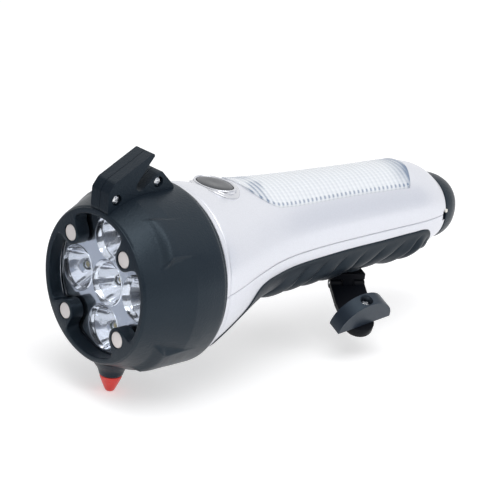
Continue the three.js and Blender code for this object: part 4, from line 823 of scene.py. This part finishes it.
def turn_at_level(station, level):
    """The turn from the right side at which the body's skin is at a level: the arcsine of the level's share
    of the height over or under the widest place, to the power of half the roundness."""
    top, bottom, half_width, widest = smooth_read(BODY_TABLE, station)
    share = np.where(level > widest, (level - widest) / (top - widest), (level - widest) / (widest - bottom))
    return np.arcsin(np.clip(np.sign(share) * np.abs(share) ** (BODY_ROUNDNESS / 2), -1, 1))


def slab(outer, inner):
    """A closed skin round two grids of the same size: outside, inside and the four edges between them."""
    rows, columns = outer.shape[:2]
    points = np.vstack([outer.reshape(-1, 3), inner.reshape(-1, 3)])
    count = rows * columns
    index = np.arange(count).reshape(rows, columns)
    edge = np.concatenate([index[0], index[1:, -1], index[-1, -2::-1], index[-2:0:-1, 0]])
    beside = np.roll(edge, -1)
    strips = np.stack([edge, beside, beside + count, edge + count], -1)
    faces = grid_faces(rows, columns, False)
    return points, np.vstack([faces, faces[:, ::-1] + count, strips])


def pearl_lacquer():
    """Silver lacquer: fine metal flakes and faint clouds vary the tone, under a thin clear coat that is
    uneven like orange peel."""
    paint, tree, shader = new_paint("pearl_silver")
    spot = object_spot(tree)
    flakes = node(tree, "ShaderNodeTexVoronoi", Vector=spot, Scale=5200.0)
    clouds = noise(tree, spot, Scale=22.0, Detail=3.0)
    flecked = spread(tree, flakes.outputs["Color"], 0.93, 1.05)
    level = value_math(tree, "MULTIPLY", flecked, spread(tree, clouds, 0.985, 1.015))
    join(tree, shader, {
        "Base Color": shaded(tree, PEARL_SILVER, level),
        "Roughness": spread(tree, clouds, 0.30, 0.40),
        "Normal": bumped(tree, noise(tree, spot, Scale=900.0, Detail=2.0), 0.08, 0.0002),
        "Metallic": 0.55,
        "Coat Weight": 0.35,
        "Coat Roughness": 0.14,
    })
    return paint


def half_shell(side):
    """One shell as a slab: 1 is the half over the seam and -1 the half under it. Each row of points goes
    round from the seam on the right to the seam on the left."""
    station = shell_stations[:, None]
    start = turn_at_level(station, read(SEAM, shell_stations)[:, None] + side * SEAM_GAP)
    turn = start + shell_shares[None] * (side * math.pi - 2 * start)
    proud = read(SHELL_PROUD, shell_stations)[:, None] + across_proud[None]
    return slab(body_point(station, turn, proud), body_point(station, turn, -SHELL_WALL))


def oval(outset):
    """The button's oval seen from above: cosine and sine of the turn times its half sizes and an outset."""
    turn = np.linspace(0, 2 * math.pi, OVAL_SIDES, endpoint=False)
    return (BUTTON_HALF + outset) * np.stack([np.cos(turn), np.sin(turn)], -1) + (BUTTON_STATION, 0)


def lens_half_width(station):
    """Half the lens's width at stations, read along its edge."""
    return read(LENS_EDGE, station)


def lens_outline(outset):
    """The lens's closed outline seen from above, scaled about its middle so that its ends and its widest
    place move out by an outset."""
    ring = np.vstack([LENS_EDGE, (LENS_EDGE * (1, -1))[-2:0:-1]])
    middle = np.array([(LENS_FRONT_END + LENS_REAR_END) / 2, 0])
    half = np.array([(LENS_REAR_END - LENS_FRONT_END) / 2, LENS_EDGE[:, 1].max()])
    return (ring - middle) * (1 + outset / half) + middle


pearl = pearl_lacquer()
proud_stations = np.array(SHELL_PROUD)[:, 0]
shell_stations = np.concatenate([proud_stations[:9], np.linspace(46.6, 202.6, 118), proud_stations[9:]])
edge_shares, edge_proud = EDGE_PROUD.T
shell_shares = np.concatenate([edge_shares, np.linspace(0.018, 0.982, 96), 1 - edge_shares[::-1]])
across_proud = np.interp(np.minimum(shell_shares, 1 - shell_shares), edge_shares, edge_proud)
crank_axis = ((CRANK_STATION, 0, 0), (0, 0, 1))
crank_room = [(-40, 0), (-40, CRANK_HOLE), (-5, CRANK_HOLE), (-5, 0)]
strap_room = prism(STRAP_SLOT, -30, -8)
upper = piece("upper_shell_skin", half_shell(1), pearl, "torch", ["upper_shell"], crease=26)
carve(upper, [solid("collar_room", prism(oval(COLLAR_HOLE), 20, 50, "z")),
              solid("lens_room", prism(lens_outline(LENS_PLAY), 20, 50, "z")),
              solid("strap_room", strap_room)], crease=26)
lower = piece("lower_shell_skin", half_shell(-1), pearl, "torch", ["lower_shell"],
              crease=26)
carve(lower, [solid("crank_room", turned(crank_room, 64, *crank_axis)), solid("strap_room", strap_room)],
      crease=26)
piece("neck_ring", turned(NECK_PROFILE, 96), pearl, "torch")

# Area lens: a clear prismatic cover let into the top of the handle. Its outside has a faint wave and its
# underside rows of small prisms, across and along. Painted shade darkens its colour between the prisms, in
# notches along its edge and at both ends, for the tray's shadowed rim and ends seen through the prisms, and
# near the front for dark reflections.
LENS_PROUD = 0.7
LENS_SINK = 0.9
RIB_PITCH = 2.78
RIB_DEPTH = 0.42
LENGTHWISE_PITCH = 1.52
# The cover's rounded end by distance from it, and its rounded sides by share of the width
LENS_END_ROWS = [0.01, 0.05, 0.15, 0.35, 0.6, 0.9]
LENS_REAR_ROWS = np.array([0.5, 0.3, 0.15, 0.05, 0.01])
LENS_SIDE_SHARES = [0.975, 0.992, 1]
# The lens's clear colour, and the blue grey of its painted shade
PRISM_CLEAR = (0.93, 0.958, 1.0)
PAINTED_PRISM_SHADE = (0.22, 0.29, 0.41)


def on_body(x, y, proud=0.0):
    """The height of the body's skin over points seen from above, moved out by a margin: the shares of half
    the width and of the height, each to the power of the roundness, add up to one."""
    top, bottom, half_width, widest = smooth_read(BODY_TABLE, x)
    share = np.clip(np.abs(y) / (half_width + proud), 0, 1)
    return widest + (top - widest + proud) * (1 - share ** BODY_ROUNDNESS) ** (1 / BODY_ROUNDNESS)


def ridge(value, pitch):
    """A row of triangular ridges at a pitch: 0 in the valleys, 1 on the ridges and straight between."""
    return 1 - np.abs(2 * np.mod(value / pitch, 1) - 1)


def painted_lens_shade(x, y):
    """Painted shade on the lens, 0 to 1: lines between the prisms, notches along the edge, the tray's
    shadowed ends, and dark reflections near the front.
    """
    inside, off = lens_half_width(x) - np.abs(y), np.abs(y)
    across, along = 1 - ridge(x, RIB_PITCH), 1 - ridge(y, LENGTHWISE_PITCH)
    lines = 0.24 * across ** 2 + 0.07 * along ** 2
    notches = 0.55 * smooth_step(across, 0.35, 0.75) * band(inside, 0, 0.15, 0.7, 1.1)
    bowed = x + 0.02 * y ** 2
    rear = smooth_step(bowed, LENS_REAR_END - 16, LENS_REAR_END) * (1 - 0.7 * smooth_step(off, 9, 16))
    rear_edge = smooth_step(bowed, LENS_REAR_END - 4.5, LENS_REAR_END - 1.5) * smooth_step(off, 2, 8)
    wrapped = x + np.clip(0.45 * (off - 4), 0, 3)
    front = band(wrapped, 79, 82, 86, 90) * (0.3 + 0.7 * smooth_step(off, 1, 4))
    front = front * (1 - 0.35 * smooth_step(off, 7, 12))
    ends = rear * (0.45 + 0.3 * across) + 0.45 * rear_edge + front * (0.2 + 0.75 * across ** 2)
    return np.clip(lines + notches + ends, 0, 1)


area_clear = clear_plastic("clear_area_lens", (*PRISM_CLEAR, 1), 0.12, 0.1, through=0.16)
area_tree = area_clear.node_tree
# Painted shade: a point attribute moves the lens's colour from clear towards blue grey.
painted_prism_shade = node(area_tree, "ShaderNodeAttribute", {"attribute_name": "painted_prism_shade"})
painted_prism_tint = node(area_tree, "ShaderNodeVectorMath", {"operation": "MULTIPLY_ADD"})
step_to_painted_shade = np.subtract(PAINTED_PRISM_SHADE, PRISM_CLEAR).tolist()
join(area_tree, painted_prism_tint, {0: painted_prism_shade.outputs["Fac"], 1: step_to_painted_shade, 2: PRISM_CLEAR})
join(area_tree, area_tree.nodes["Principled BSDF"], {"Base Color": painted_prism_tint.outputs["Vector"]})

lens_stations = np.concatenate([LENS_FRONT_END + np.array(LENS_END_ROWS),
                                np.arange(LENS_FRONT_END + 1.2, LENS_REAR_END - 0.7, RIB_PITCH / 7),
                                LENS_REAR_END - LENS_REAR_ROWS])
lens_shares = np.concatenate([np.negative(LENS_SIDE_SHARES[::-1]), np.linspace(-0.955, 0.955, 115),
                              LENS_SIDE_SHARES])
lens_x = np.broadcast_to(lens_stations[:, None], (len(lens_stations), len(lens_shares)))
lens_y = np.maximum(lens_half_width(lens_stations), 0.02)[:, None] * lens_shares[None]
from_edge = lens_half_width(lens_stations)[:, None] * (1 - np.abs(lens_shares)[None])
from_end = np.minimum(lens_stations - LENS_FRONT_END, LENS_REAR_END - lens_stations)[:, None]
inset = np.minimum(from_edge, from_end)
edge_drop = 0.45 * (1 - smooth_step(inset, 0, 0.55))
ribbed = smooth_step(inset, 0.5, 1.3)
ribs, furrows = ridge(lens_x, RIB_PITCH), ridge(lens_y, LENGTHWISE_PITCH)
outer_level = on_body(lens_x, lens_y, LENS_PROUD) - edge_drop - ribbed * (0.26 * ribs + 0.1 * furrows)
inner_level = on_body(lens_x, lens_y, -LENS_SINK) + RIB_DEPTH * (0.72 * ribs + 0.28 * furrows) * ribbed
lens_skins = [np.stack([lens_x, lens_y, level], -1) for level in (outer_level, inner_level)]
lens_cover = piece("area_lens_cover", slab(*lens_skins), area_clear, "torch", ["area_lens"],
                   crease=22)
# Painted shade: each point of the cover stores how dark it is painted.
places = np.empty(len(lens_cover.data.vertices) * 3, np.float32)
lens_cover.data.vertices.foreach_get("co", places)
places = (places.reshape(-1, 3) - rim_centre) * 1000
painted_shade_level = lens_cover.data.attributes.new("painted_prism_shade", "FLOAT", "POINT")
painted_shade_level.data.foreach_set("value", painted_lens_shade(places[:, 0], places[:, 1]).astype(np.float32))

# Tray and lamps under the lens: a white moulded tray with sloping sides, the lamp board on its floor, and six
# clear lamps in a row that light a work area.
AREA_LAMPS = np.linspace(107, 168, 6)
AREA_LAMP_RADIUS = 1.5
AREA_LAMP_FOOT = 23.5
AREA_LAMP_TOP = 25.1
AREA_CHIP = [(24.3, 0), (24.3, 0.7), (23.55, 0.9), (AREA_LAMP_FOOT + 0.05, 0)]
TRAY_WHITE = (0.90, 0.93, 0.98, 1)
TRAY_TOP = 33.4
# The tray's rings: outset from the lens's edge, and depth under the skin or, on the floor, under its top
TRAY_RINGS = [(-0.6, 1.6), (-1.1, 4.6), (-3.4, 9.0), (-3.9, 9.6), (-0.2, 9.6), (-0.05, 1.6)]
FLOOR_DEPTH = 6
tray_rings = []
for outset, drop in TRAY_RINGS + TRAY_RINGS[:1]:
    ring = lens_outline(outset)
    level = on_body(ring[:, 0], ring[:, 1]) if drop < FLOOR_DEPTH else np.full(len(ring), TRAY_TOP)
    tray_rings.append(np.column_stack([ring, level - drop]))
tray_white = plastic("white_tray", TRAY_WHITE, 0.42, 0.18, size=2600.0, cloud=0.1)
tray = (np.vstack(tray_rings), grid_faces(len(tray_rings), len(tray_rings[0])))
piece("area_tray", tray, tray_white, "torch", crease=40)
white_board = circuit_board("white_board", (0.78, 0.80, 0.82, 1), (0.66, 0.68, 0.70, 1))
paint_cad(white_board, "board_white", "area_board")
bend = np.linspace(math.pi / 2, 0, 8)
nose_level = AREA_LAMP_TOP - 0.6 * AREA_LAMP_RADIUS * (1 - np.sin(bend))
nose = np.column_stack([nose_level, AREA_LAMP_RADIUS * np.cos(bend)])
area_lamp = np.vstack([nose, [(AREA_LAMP_FOOT, AREA_LAMP_RADIUS), (AREA_LAMP_FOOT, 0)]])
for number, x in enumerate(AREA_LAMPS, 1):
    lamp_axis = ((x, 0, 0), (0, 0, 1))
    piece(f"area_lamp_dome_{number}", turned(area_lamp, 32, *lamp_axis), clear_lamp, "torch",
          [f"area_lamp_{number}"])
    piece(f"area_lamp_chip_{number}", turned(AREA_CHIP, 24, *lamp_axis), chip_yellow, "torch")

# Rubber grip: a soft thermoplastic rubber overmoulded on the underside. Slanting scallops fit the fingers,
# with a plain band along the upper edge; a narrow strip runs to the bezel. A ring of it seals the crank's
# shaft.
RUBBER_BLACK = (0.010, 0.015, 0.022, 1)
GRIP_SINK = 0.5
GRIP_PROUD = 0.6
BULGE_HEIGHT = 1.5
BULGE_EXTRA = 1.0
GROOVE_DEPTH = 0.4
BULGE_PITCH = 13.3
BULGE_FRONT = 83.7
GRIP_SLANT = 0.9
STRAIGHT_RISE = 2.6
GRIP_FRONT = 46.0
GRIP_REAR = 196.0
SEAL_HOLE = 8.5
# The rubber's edge seen from the side: station and level
GRIP_EDGE = [(46, -23.2), (50, -20.2), (55, -16.9), (59.5, -13.8), (62.5, -10.5), (64.3, -7), (66.5, -4.2),
             (69.8, -2.0), (74.2, -0.8), (83, -0.2), (91.2, 0.1), (117.8, 0.3), (136.8, 0.7), (157.8, 0.8),
             (179, 1.2), (187.5, 1.0), (190.3, 0.1), (192.3, -1.6), (193.7, -3.8), (194.7, -6.5),
             (195.5, -10), (196, -16)]
# How the skin rounds off: by share of the half width, and by distance from the front and from the rear
SIDE_ROUNDING = [(0, 0), (0.955, 0), (0.972, -0.05), (0.984, -0.16), (0.993, -0.38), (1, -0.95)]
FRONT_ROUNDING = [(0, -0.8), (0.15, -0.25), (0.4, 0)]
REAR_ROUNDING = [(0, -0.95), (0.1, -0.55), (0.25, -0.28), (0.5, -0.08), (0.8, 0)]
SEAL_PROFILE = [(-16.6, 3.9), (-16.6, 8.3), (-18.5, 8.3), (-18.7, 8.1), (-18.7, 4.1), (-18.5, 3.9),
                (-16.6, 3.9)]


def grip_edge_turn(station):
    """The turn of the rubber's edge, right of straight down."""
    return np.maximum(turn_at_level(station, smooth_read(GRIP_EDGE, station)[0]), 0.012 - math.pi / 2)


def leaning(start, turn):
    """Stations of a row of the grip that starts under the body and, over a low straight part, leans to the
    tail by its slant times its rise."""
    start, turn = np.broadcast_arrays(start, turn)
    low = smooth_read(BODY_TABLE, start)[1]
    rise = np.maximum(body_point(start, turn)[..., 2] - low - STRAIGHT_RISE, 0)
    fade = band(start, 56, 92, 168, GRIP_REAR)
    return np.minimum(start + GRIP_SLANT * fade * rise, GRIP_REAR)


def row_ends(starts):
    """The turn at which each leaning row meets the rubber's edge, between the two tries that lie about it."""
    tries = np.linspace(-math.pi / 2 + 0.02, 0.35, 220)
    over = tries[None] - grip_edge_turn(leaning(starts[:, None], tries[None]))
    after = np.maximum((over > 0).argmax(1), 1)
    row = np.arange(len(starts))
    gap_before, gap_after = over[row, after - 1], over[row, after]
    return tries[after - 1] + (tries[after] - tries[after - 1]) * gap_before / (gap_before - gap_after)


rubber = plastic("grip_rubber", RUBBER_BLACK, 0.42, 0.5, size=3400.0, cloud=0.22, shine=0.25,
                 gloss_tint=COOL_GLOSS)
front_rows, rear_rows, side_rows = (np.array(table)[:, 0]
                                    for table in (FRONT_ROUNDING, REAR_ROUNDING, SIDE_ROUNDING))
grip_starts = np.concatenate([GRIP_FRONT + front_rows, np.linspace(GRIP_FRONT + 0.9, GRIP_REAR - 1.2, 340),
                              GRIP_REAR - rear_rows[::-1]])
half_shares = np.concatenate([np.linspace(0, side_rows[1], 52), side_rows[2:]])
grip_shares = np.concatenate([-half_shares[::-1], half_shares[1:]])
from_middle = np.abs(grip_shares)[None]
grip_turn = -math.pi / 2 + grip_shares[None] * (row_ends(grip_starts) + math.pi / 2)[:, None]
grip_station = leaning(grip_starts[:, None], -math.pi / 2 + np.abs(grip_turn + math.pi / 2))
scallop = np.abs(np.sin(math.pi * (grip_starts - BULGE_FRONT) / BULGE_PITCH))
scallop = np.where(grip_starts < BULGE_FRONT, 0, scallop) ** 0.75
reach_out = scallop[:, None] * (1 - smooth_step(from_middle, 0.66, 0.93))
clear_of_hub = smooth_step(np.abs(grip_starts - CRANK_STATION), 13, 20)
clear_of_hub = clear_of_hub * (1 - smooth_step(grip_starts, 180, 192))
height = (BULGE_HEIGHT + BULGE_EXTRA * clear_of_hub)[:, None]
groove = GROOVE_DEPTH * np.where(grip_starts < BULGE_FRONT, 0, (1 - scallop) ** 3)[:, None] * (reach_out > 0)
groove = groove * (1 - smooth_step(from_middle, 0.62, 0.93))
rounding = read(SIDE_ROUNDING, from_middle)
rounding = rounding + read(FRONT_ROUNDING, grip_starts - GRIP_FRONT)[:, None]
rounding = rounding + read(REAR_ROUNDING, GRIP_REAR - grip_starts)[:, None]
swell = GRIP_PROUD + height * reach_out - groove + rounding
grip = piece("rubber_grip_skin", slab(body_point(grip_station, grip_turn, swell),
                                      body_point(grip_station, grip_turn, -GRIP_SINK)),
             rubber, "torch", ["rubber_grip"], crease=38)
shaft_room = [(-40, 0), (-40, SEAL_HOLE), (-5, SEAL_HOLE), (-5, 0)]
carve(grip, [solid("shaft_room", turned(shaft_room, 64, *crank_axis))], crease=38)
piece("crank_seal", turned(SEAL_PROFILE, 64, *crank_axis), rubber, "torch")

# Button and its collar: a glossy silver moulded collar stands on the body with a stepped foot and a rounded
# lip, and a dished black button of soft gloss sits in it. Each follows the same oval.
COLLAR_BASE = 30.5
COLLAR_TOP = 37.0
FOOT_LIMIT = 36.6
# Rings of the collar: how far out of the button's oval, and a height, or a height over the body's skin
COLLAR_LIP = [(0.35, COLLAR_BASE), (0.35, 36.0), (0.5, 36.6), (0.8, 36.92), (1.15, COLLAR_TOP), (1.45, 36.88),
              (1.66, 36.55), (1.74, 36.0)]
COLLAR_FOOT = [(1.8, 1.25), (1.95, 0.95), (2.3, 0.82), (3.0, 0.72), (3.35, 0.55), (3.5, 0.2), (3.5, -0.9)]
COLLAR_SILVER = (0.62, 0.63, 0.67, 1)
BUTTON_BASE = 32.6
BUTTON_SHOULDER = 36.3
BUTTON_TOP = 37.15
BUTTON_BLACK = (0.012, 0.016, 0.024, 1)


def capped_faces(rows, sides):
    """Faces of a stack of rings, closed by a flat face at each end."""
    ends = [list(range(sides)), list(range((rows - 1) * sides, rows * sides))]
    return grid_faces(rows, sides).tolist() + ends


def oval_ring(outset, height):
    """A ring of the oval at one height, or at a height for each of its points."""
    return np.column_stack([oval(outset), np.broadcast_to(height, OVAL_SIDES)])


collar_rings = [oval_ring(outset, height) for outset, height in COLLAR_LIP]
for outset, rise in COLLAR_FOOT:
    foot = np.minimum(on_body(*oval(outset).T) + rise, FOOT_LIMIT)
    collar_rings.append(oval_ring(outset, foot))
collar_rings.append(collar_rings[0])
collar_gloss = plastic("collar_silver", COLLAR_SILVER, 0.22, 0.06, size=3000.0, cloud=0.05,
                       metallic=0.6, coat=0.5)
collar = (np.vstack(collar_rings), grid_faces(len(collar_rings), OVAL_SIDES))
piece("button_collar_skin", collar, collar_gloss, "torch", ["button_collar"], crease=44)
button_rings = [oval_ring(0.0, BUTTON_BASE), oval_ring(0.05, BUTTON_SHOULDER)]
for share in np.linspace(1, 0.04, 14):
    height = BUTTON_TOP - 0.5 * share ** 6 - 0.2 * (1 - share) ** 2
    button_rings.append(oval_ring(-BUTTON_HALF * (1 - share), height))
button = (np.vstack(button_rings), capped_faces(len(button_rings), OVAL_SIDES))
button_gloss = plastic("button_black", BUTTON_BLACK, 0.3, 0.12, size=2600.0, cloud=0.12, coat=0.3)
piece("power_button_skin", button, button_gloss, "button", ["power_button"], crease=50)
paint_cad(satin_black, "black_plastic", "power_switch")

# Tail cap: a black moulded cap closes the handle's rear with a softly domed end. In the strap slot, which the
# shells leave open beside it, a black well gives painted shade inside the opening, and a white tooth at its
# upper end gives a painted highlight.
CAP_FRONT = 204.1
DOME_LENGTH = 15.4
CAP_ROUNDNESS = 2.24
CAP_SIDES = 120
# The cap's front edge is eased: how much it draws in by share of its length
CAP_EASE = [(0, 0.02), (0.006, 0.006), (0.02, 0.0)]
SHADE_WELL_OUTLINE = [(199.8, 1.4), (204.0, 1.4), (204.0, 8.2), (199.8, 8.2)]
HIGHLIGHT_TOOTH_OUTLINE = [(202.7, 6.3), (204.05, 6.3), (204.05, 7.9), (202.7, 7.9)]
cap_shares = np.concatenate([[0, 0.006, 0.02], np.linspace(0.05, 0.9, 26),
                             0.9 + 0.1 * np.sin(np.linspace(0.1, 1, 14) * math.pi / 2)])
# The dome draws in like a superellipse: the powers of its length and width add up to one
shrink = (1 - np.clip(cap_shares, 0, 0.99999) ** CAP_ROUNDNESS) ** (1 / CAP_ROUNDNESS)
shrink = (shrink - read(CAP_EASE, cap_shares))[:, None]
cap_section = smooth_read(BODY_TABLE, BODY_REAR)
across, rise = body_section(cap_section, np.linspace(0, 2 * math.pi, CAP_SIDES, endpoint=False))
cap_x = np.broadcast_to(CAP_FRONT + cap_shares[:, None] * DOME_LENGTH, (len(cap_shares), CAP_SIDES))
cap_points = np.stack([cap_x, shrink * across, cap_section[3] + shrink * rise], -1).reshape(-1, 3)
cap = (cap_points, capped_faces(len(cap_shares), CAP_SIDES))
piece("tail_cap_skin", cap, satin_black, "torch", ["tail_cap"], crease=40)
# Painted shade: a black well in the slot for the shade inside the opening
shade_well = prism(rounded_outline(SHADE_WELL_OUTLINE, 0.4), -15.2, -13.6)
piece("strap_shade_well", shade_well, satin_black, "torch")
# Painted highlight: a white tooth for the highlight at the slot's upper end
highlight_tooth = prism(rounded_outline(HIGHLIGHT_TOOTH_OUTLINE, 0.3), -17.3, -15.0)
piece("strap_highlight_tooth", highlight_tooth, white_nylon, "torch")

# Crank hub: a round black disc with a straight bar and one lug under the handle, on a shaft that goes up to
# the drive. A steel pin through the lug carries the arm.
# Painted shade: the crank's hub and arm take a darker copy of the black mouldings, for the shade they lie in.
CRANK_SHADE_BLACK = (0.003, 0.004, 0.007, 1)
CRANK_HEADING = math.radians(243.1)
CRANK_DROOP = math.radians(26)
CRANK_LEVEL = -21.3
HINGE_REACH = 8.0
HINGE_RADIUS = 2.4
HUB_RADIUS = 9.0
HUB_TOP = -19.1
HUB_BOTTOM = -22.2
BAR_FRONT, BAR_REAR = 1.5, 9.4
LUG_HALF_WIDTH = 2.8
ARM_HALF_WIDTH = 8.6
HUB_PROFILE = [(HUB_TOP, 0), (HUB_TOP, 8.4), (HUB_TOP - 0.2, 8.8), (HUB_TOP - 0.6, HUB_RADIUS),
               (HUB_BOTTOM + 0.5, HUB_RADIUS), (HUB_BOTTOM + 0.15, 8.8), (HUB_BOTTOM, 8.4), (HUB_BOTTOM, 0)]
SHAFT_PROFILE = [(-19.3, 0), (-19.3, 3.5), (-0.6, 3.5), (-0.6, 0)]
PIN_PROFILE = [(-8.5, 0), (-8.5, 0.85), (-8.35, 1), (8.35, 1), (8.5, 0.85), (8.5, 0)]


def swung(angle):
    """Axes turned about Z by an angle, as rows."""
    return np.array([[math.cos(angle), math.sin(angle), 0],
                     [-math.sin(angle), math.cos(angle), 0], [0, 0, 1]])


heading_axes = swung(CRANK_HEADING)
droop_axes = np.array([[math.cos(CRANK_DROOP), 0, -math.sin(CRANK_DROOP)], [0, 1, 0],
                       [math.sin(CRANK_DROOP), 0, math.cos(CRANK_DROOP)]])


def headed(points):
    """Points built along +X from the hub's axis, turned to the crank's heading."""
    return np.asarray(points, float) @ heading_axes + (CRANK_STATION, 0, 0)


def drooped(points):
    """Points of the arm built flat along +X, drooped about the hub's middle and turned to the heading."""
    return headed(np.asarray(points, float) @ droop_axes + (0, 0, CRANK_LEVEL))


def placed(shape, place):
    """A shape with its points moved by a function."""
    return place(shape[0]), shape[1]


# Painted shade: the darker black that stands in for the crank's shade
crank_shade_black = plastic("crank_shade_black", CRANK_SHADE_BLACK, 0.45, 0.3, size=2600.0, cloud=0.16, shine=0.12)
piece("crank_hub_disc", turned(HUB_PROFILE, 72, *crank_axis), crank_shade_black, "crank",
      ["crank_hub"])
piece("crank_hub_shaft", turned(SHAFT_PROFILE, 40, *crank_axis), crank_shade_black, "crank")
bar_corners = [(BAR_FRONT, -ARM_HALF_WIDTH), (BAR_REAR, -ARM_HALF_WIDTH), (BAR_REAR, ARM_HALF_WIDTH),
               (BAR_FRONT, ARM_HALF_WIDTH)]
bar = prism(rounded_outline(bar_corners, 1.0), HUB_BOTTOM + 0.02, HUB_TOP - 0.05, "z")
soften(piece("crank_hub_bar", placed(bar, headed), crank_shade_black, "crank"), 0.35, 2)
pin_x = HINGE_REACH * math.cos(CRANK_DROOP)
pin_z = CRANK_LEVEL - HINGE_REACH * math.sin(CRANK_DROOP)
bend = np.linspace(-math.pi / 2, math.pi / 2, 17)
lug_outline = np.vstack([
    [(pin_x - 4, HUB_BOTTOM + 0.4), (pin_x - 3.6, HUB_BOTTOM - 0.2),
     (pin_x - HINGE_RADIUS, HUB_BOTTOM - 1.2)],
    np.column_stack([pin_x + HINGE_RADIUS * np.sin(bend), pin_z - HINGE_RADIUS * np.cos(bend)]),
    [(pin_x + HINGE_RADIUS, HUB_BOTTOM + 0.4)],
])
lug = prism(lug_outline, -LUG_HALF_WIDTH, LUG_HALF_WIDTH)
soften(piece("crank_hub_lug", placed(lug, headed), crank_shade_black, "crank"), 0.25, 2)
hinge_axis = ((HINGE_REACH, 0, 0), (0, 1, 0))
piece("hinge_pin_rod", placed(turned(PIN_PROFILE, 32, *hinge_axis), drooped), steel, "crank",
      ["hinge_pin"])

# Crank arm: a broad black moulded plate, forked round the lug, with a rounded cheek on the pin at each side.
# It droops from the hub and ends in a round foot.
CRANK_REACH = 33.3
ARM_END_RADIUS = 7.2
ARM_THICKNESS = 2.6
ARM_TAPER = 12.0
FORK_HALF_WIDTH = LUG_HALF_WIDTH + 0.3
FORK_DEPTH = 2.7
FOOT_PROFILE = [(-2, 0), (-2, 6.5), (-1.8, 6.95), (-1.3, ARM_END_RADIUS), (2.1, ARM_END_RADIUS), (2.45, 7.0),
                (2.6, 6.6), (2.6, 0)]
taper = CRANK_REACH - ARM_TAPER
arm_corners = [(HINGE_REACH, -ARM_HALF_WIDTH), (taper, -ARM_HALF_WIDTH), (CRANK_REACH, -ARM_END_RADIUS + 0.1),
               (CRANK_REACH, ARM_END_RADIUS - 0.1), (taper, ARM_HALF_WIDTH), (HINGE_REACH, ARM_HALF_WIDTH),
               (HINGE_REACH, FORK_HALF_WIDTH), (HINGE_REACH + FORK_DEPTH, FORK_HALF_WIDTH),
               (HINGE_REACH + FORK_DEPTH, -FORK_HALF_WIDTH), (HINGE_REACH, -FORK_HALF_WIDTH)]
plate = prism(rounded_outline(arm_corners, 0.15, 1), -ARM_THICKNESS / 2, ARM_THICKNESS / 2, "z")
arm = piece("crank_arm_plate", placed(plate, drooped), crank_shade_black, "arm", ["crank_arm"],
            crease=30)
soften(arm, 0.4)
cheek_levels = ((-ARM_HALF_WIDTH, -FORK_HALF_WIDTH), (FORK_HALF_WIDTH, ARM_HALF_WIDTH))
for number, (low, high) in enumerate(cheek_levels, 1):
    profile = [(low, 1.02), (low, 2.15), (low + 0.25, HINGE_RADIUS), (high - 0.25, HINGE_RADIUS),
               (high, 2.15), (high, 1.02), (low, 1.02)]
    cheek = placed(turned(profile, 40, *hinge_axis), drooped)
    piece(f"crank_arm_cheek_{number}", cheek, crank_shade_black, "arm")
foot = turned(FOOT_PROFILE, 72, (CRANK_REACH, 0, 0), (0, 0, 1))
piece("crank_arm_foot", placed(foot, drooped), crank_shade_black, "arm")

# Knob: a black half-moon grip that swivels on a countersunk steel screw through its middle.
# Its arch is half an ellipse over a flat base.
KNOB_BLACK = (0.021, 0.029, 0.042, 1)
KNOB_LENGTH = 30.0
KNOB_HEIGHT = 13.8
KNOB_THICKNESS = 7.4
KNOB_BASE = 2.9
KNOB_TURN = math.radians(111.6)
SCREW_BORE = [(9.0, 0), (9.0, 2.85), (16.0, 2.85), (16.3, 3.05), (20, 3.6), (20, 0)]
SCREW_LEVEL = KNOB_BASE + KNOB_HEIGHT - 3.9
knob_axes = swung(KNOB_TURN)


def knobbed(points):
    """Points of the knob built over its own axis, swivelled and moved to the arm's end."""
    return drooped(np.asarray(points, float) @ knob_axes + (CRANK_REACH, 0, 0))


knob_black = plastic("knob_black", KNOB_BLACK, 0.38, 0.25, size=2800.0, cloud=0.14, shine=0.34,
                     gloss_tint=COOL_GLOSS)
bend = np.linspace(0, math.pi, 49)
arch = np.column_stack([np.cos(bend) * KNOB_LENGTH / 2, KNOB_BASE + np.sin(bend) * KNOB_HEIGHT])
moon = prism(arch, -KNOB_THICKNESS / 2, KNOB_THICKNESS / 2)
knob = piece("crank_knob_moon", placed(moon, knobbed), knob_black, "knob", ["crank_knob"],
             crease=30)
screw_room = turned(SCREW_BORE, 56, (0, 0, 0), (0, 0, 1))
carve(knob, [solid("screw_room", placed(screw_room, knobbed))], crease=30)
soften(knob, 0.55, 3, 40)
screw_axis = np.array([0, 0, 1]) @ droop_axes @ heading_axes
screw_seat = drooped([(CRANK_REACH, 0, SCREW_LEVEL)])[0]
screw_head("knob_screw_head", screw_seat, screw_axis, 2.65, 1.4, "arm", 0.6, ["knob_screw"])

# Case screws: four steel screws, sunk deep in the underside, hold the shells together. The hidden drive and
# its cells keep the CAD's shapes: nylon gears, a steel can with a copper-wound rotor, foil cells.
COPPER = (0.72, 0.33, 0.16, 1)
CELL_GREEN = (0.04, 0.20, 0.13, 1)
copper = bare_metal("copper_wire", COPPER, 0.28, 0.2)
cell_foil = plastic("cell_wrap", CELL_GREEN, 0.3, 0.15, size=1500.0, cloud=0.1, coat=0.4)
case_screws = [f"case_screw_{number}" for number in (1, 2, 3, 4)]
paint_cad(steel, "bright_steel", *case_screws, "idler_pin", "generator_can")
paint_cad(white_nylon, "white_nylon", "gear_frame", "drive_gear", "idler_gear")
paint_cad(copper, "copper_metal", "crank_bush", "generator_rotor")
paint_cad(cell_foil, "cell_wrap", "battery_cell_1", "battery_cell_2", "battery_cell_3")
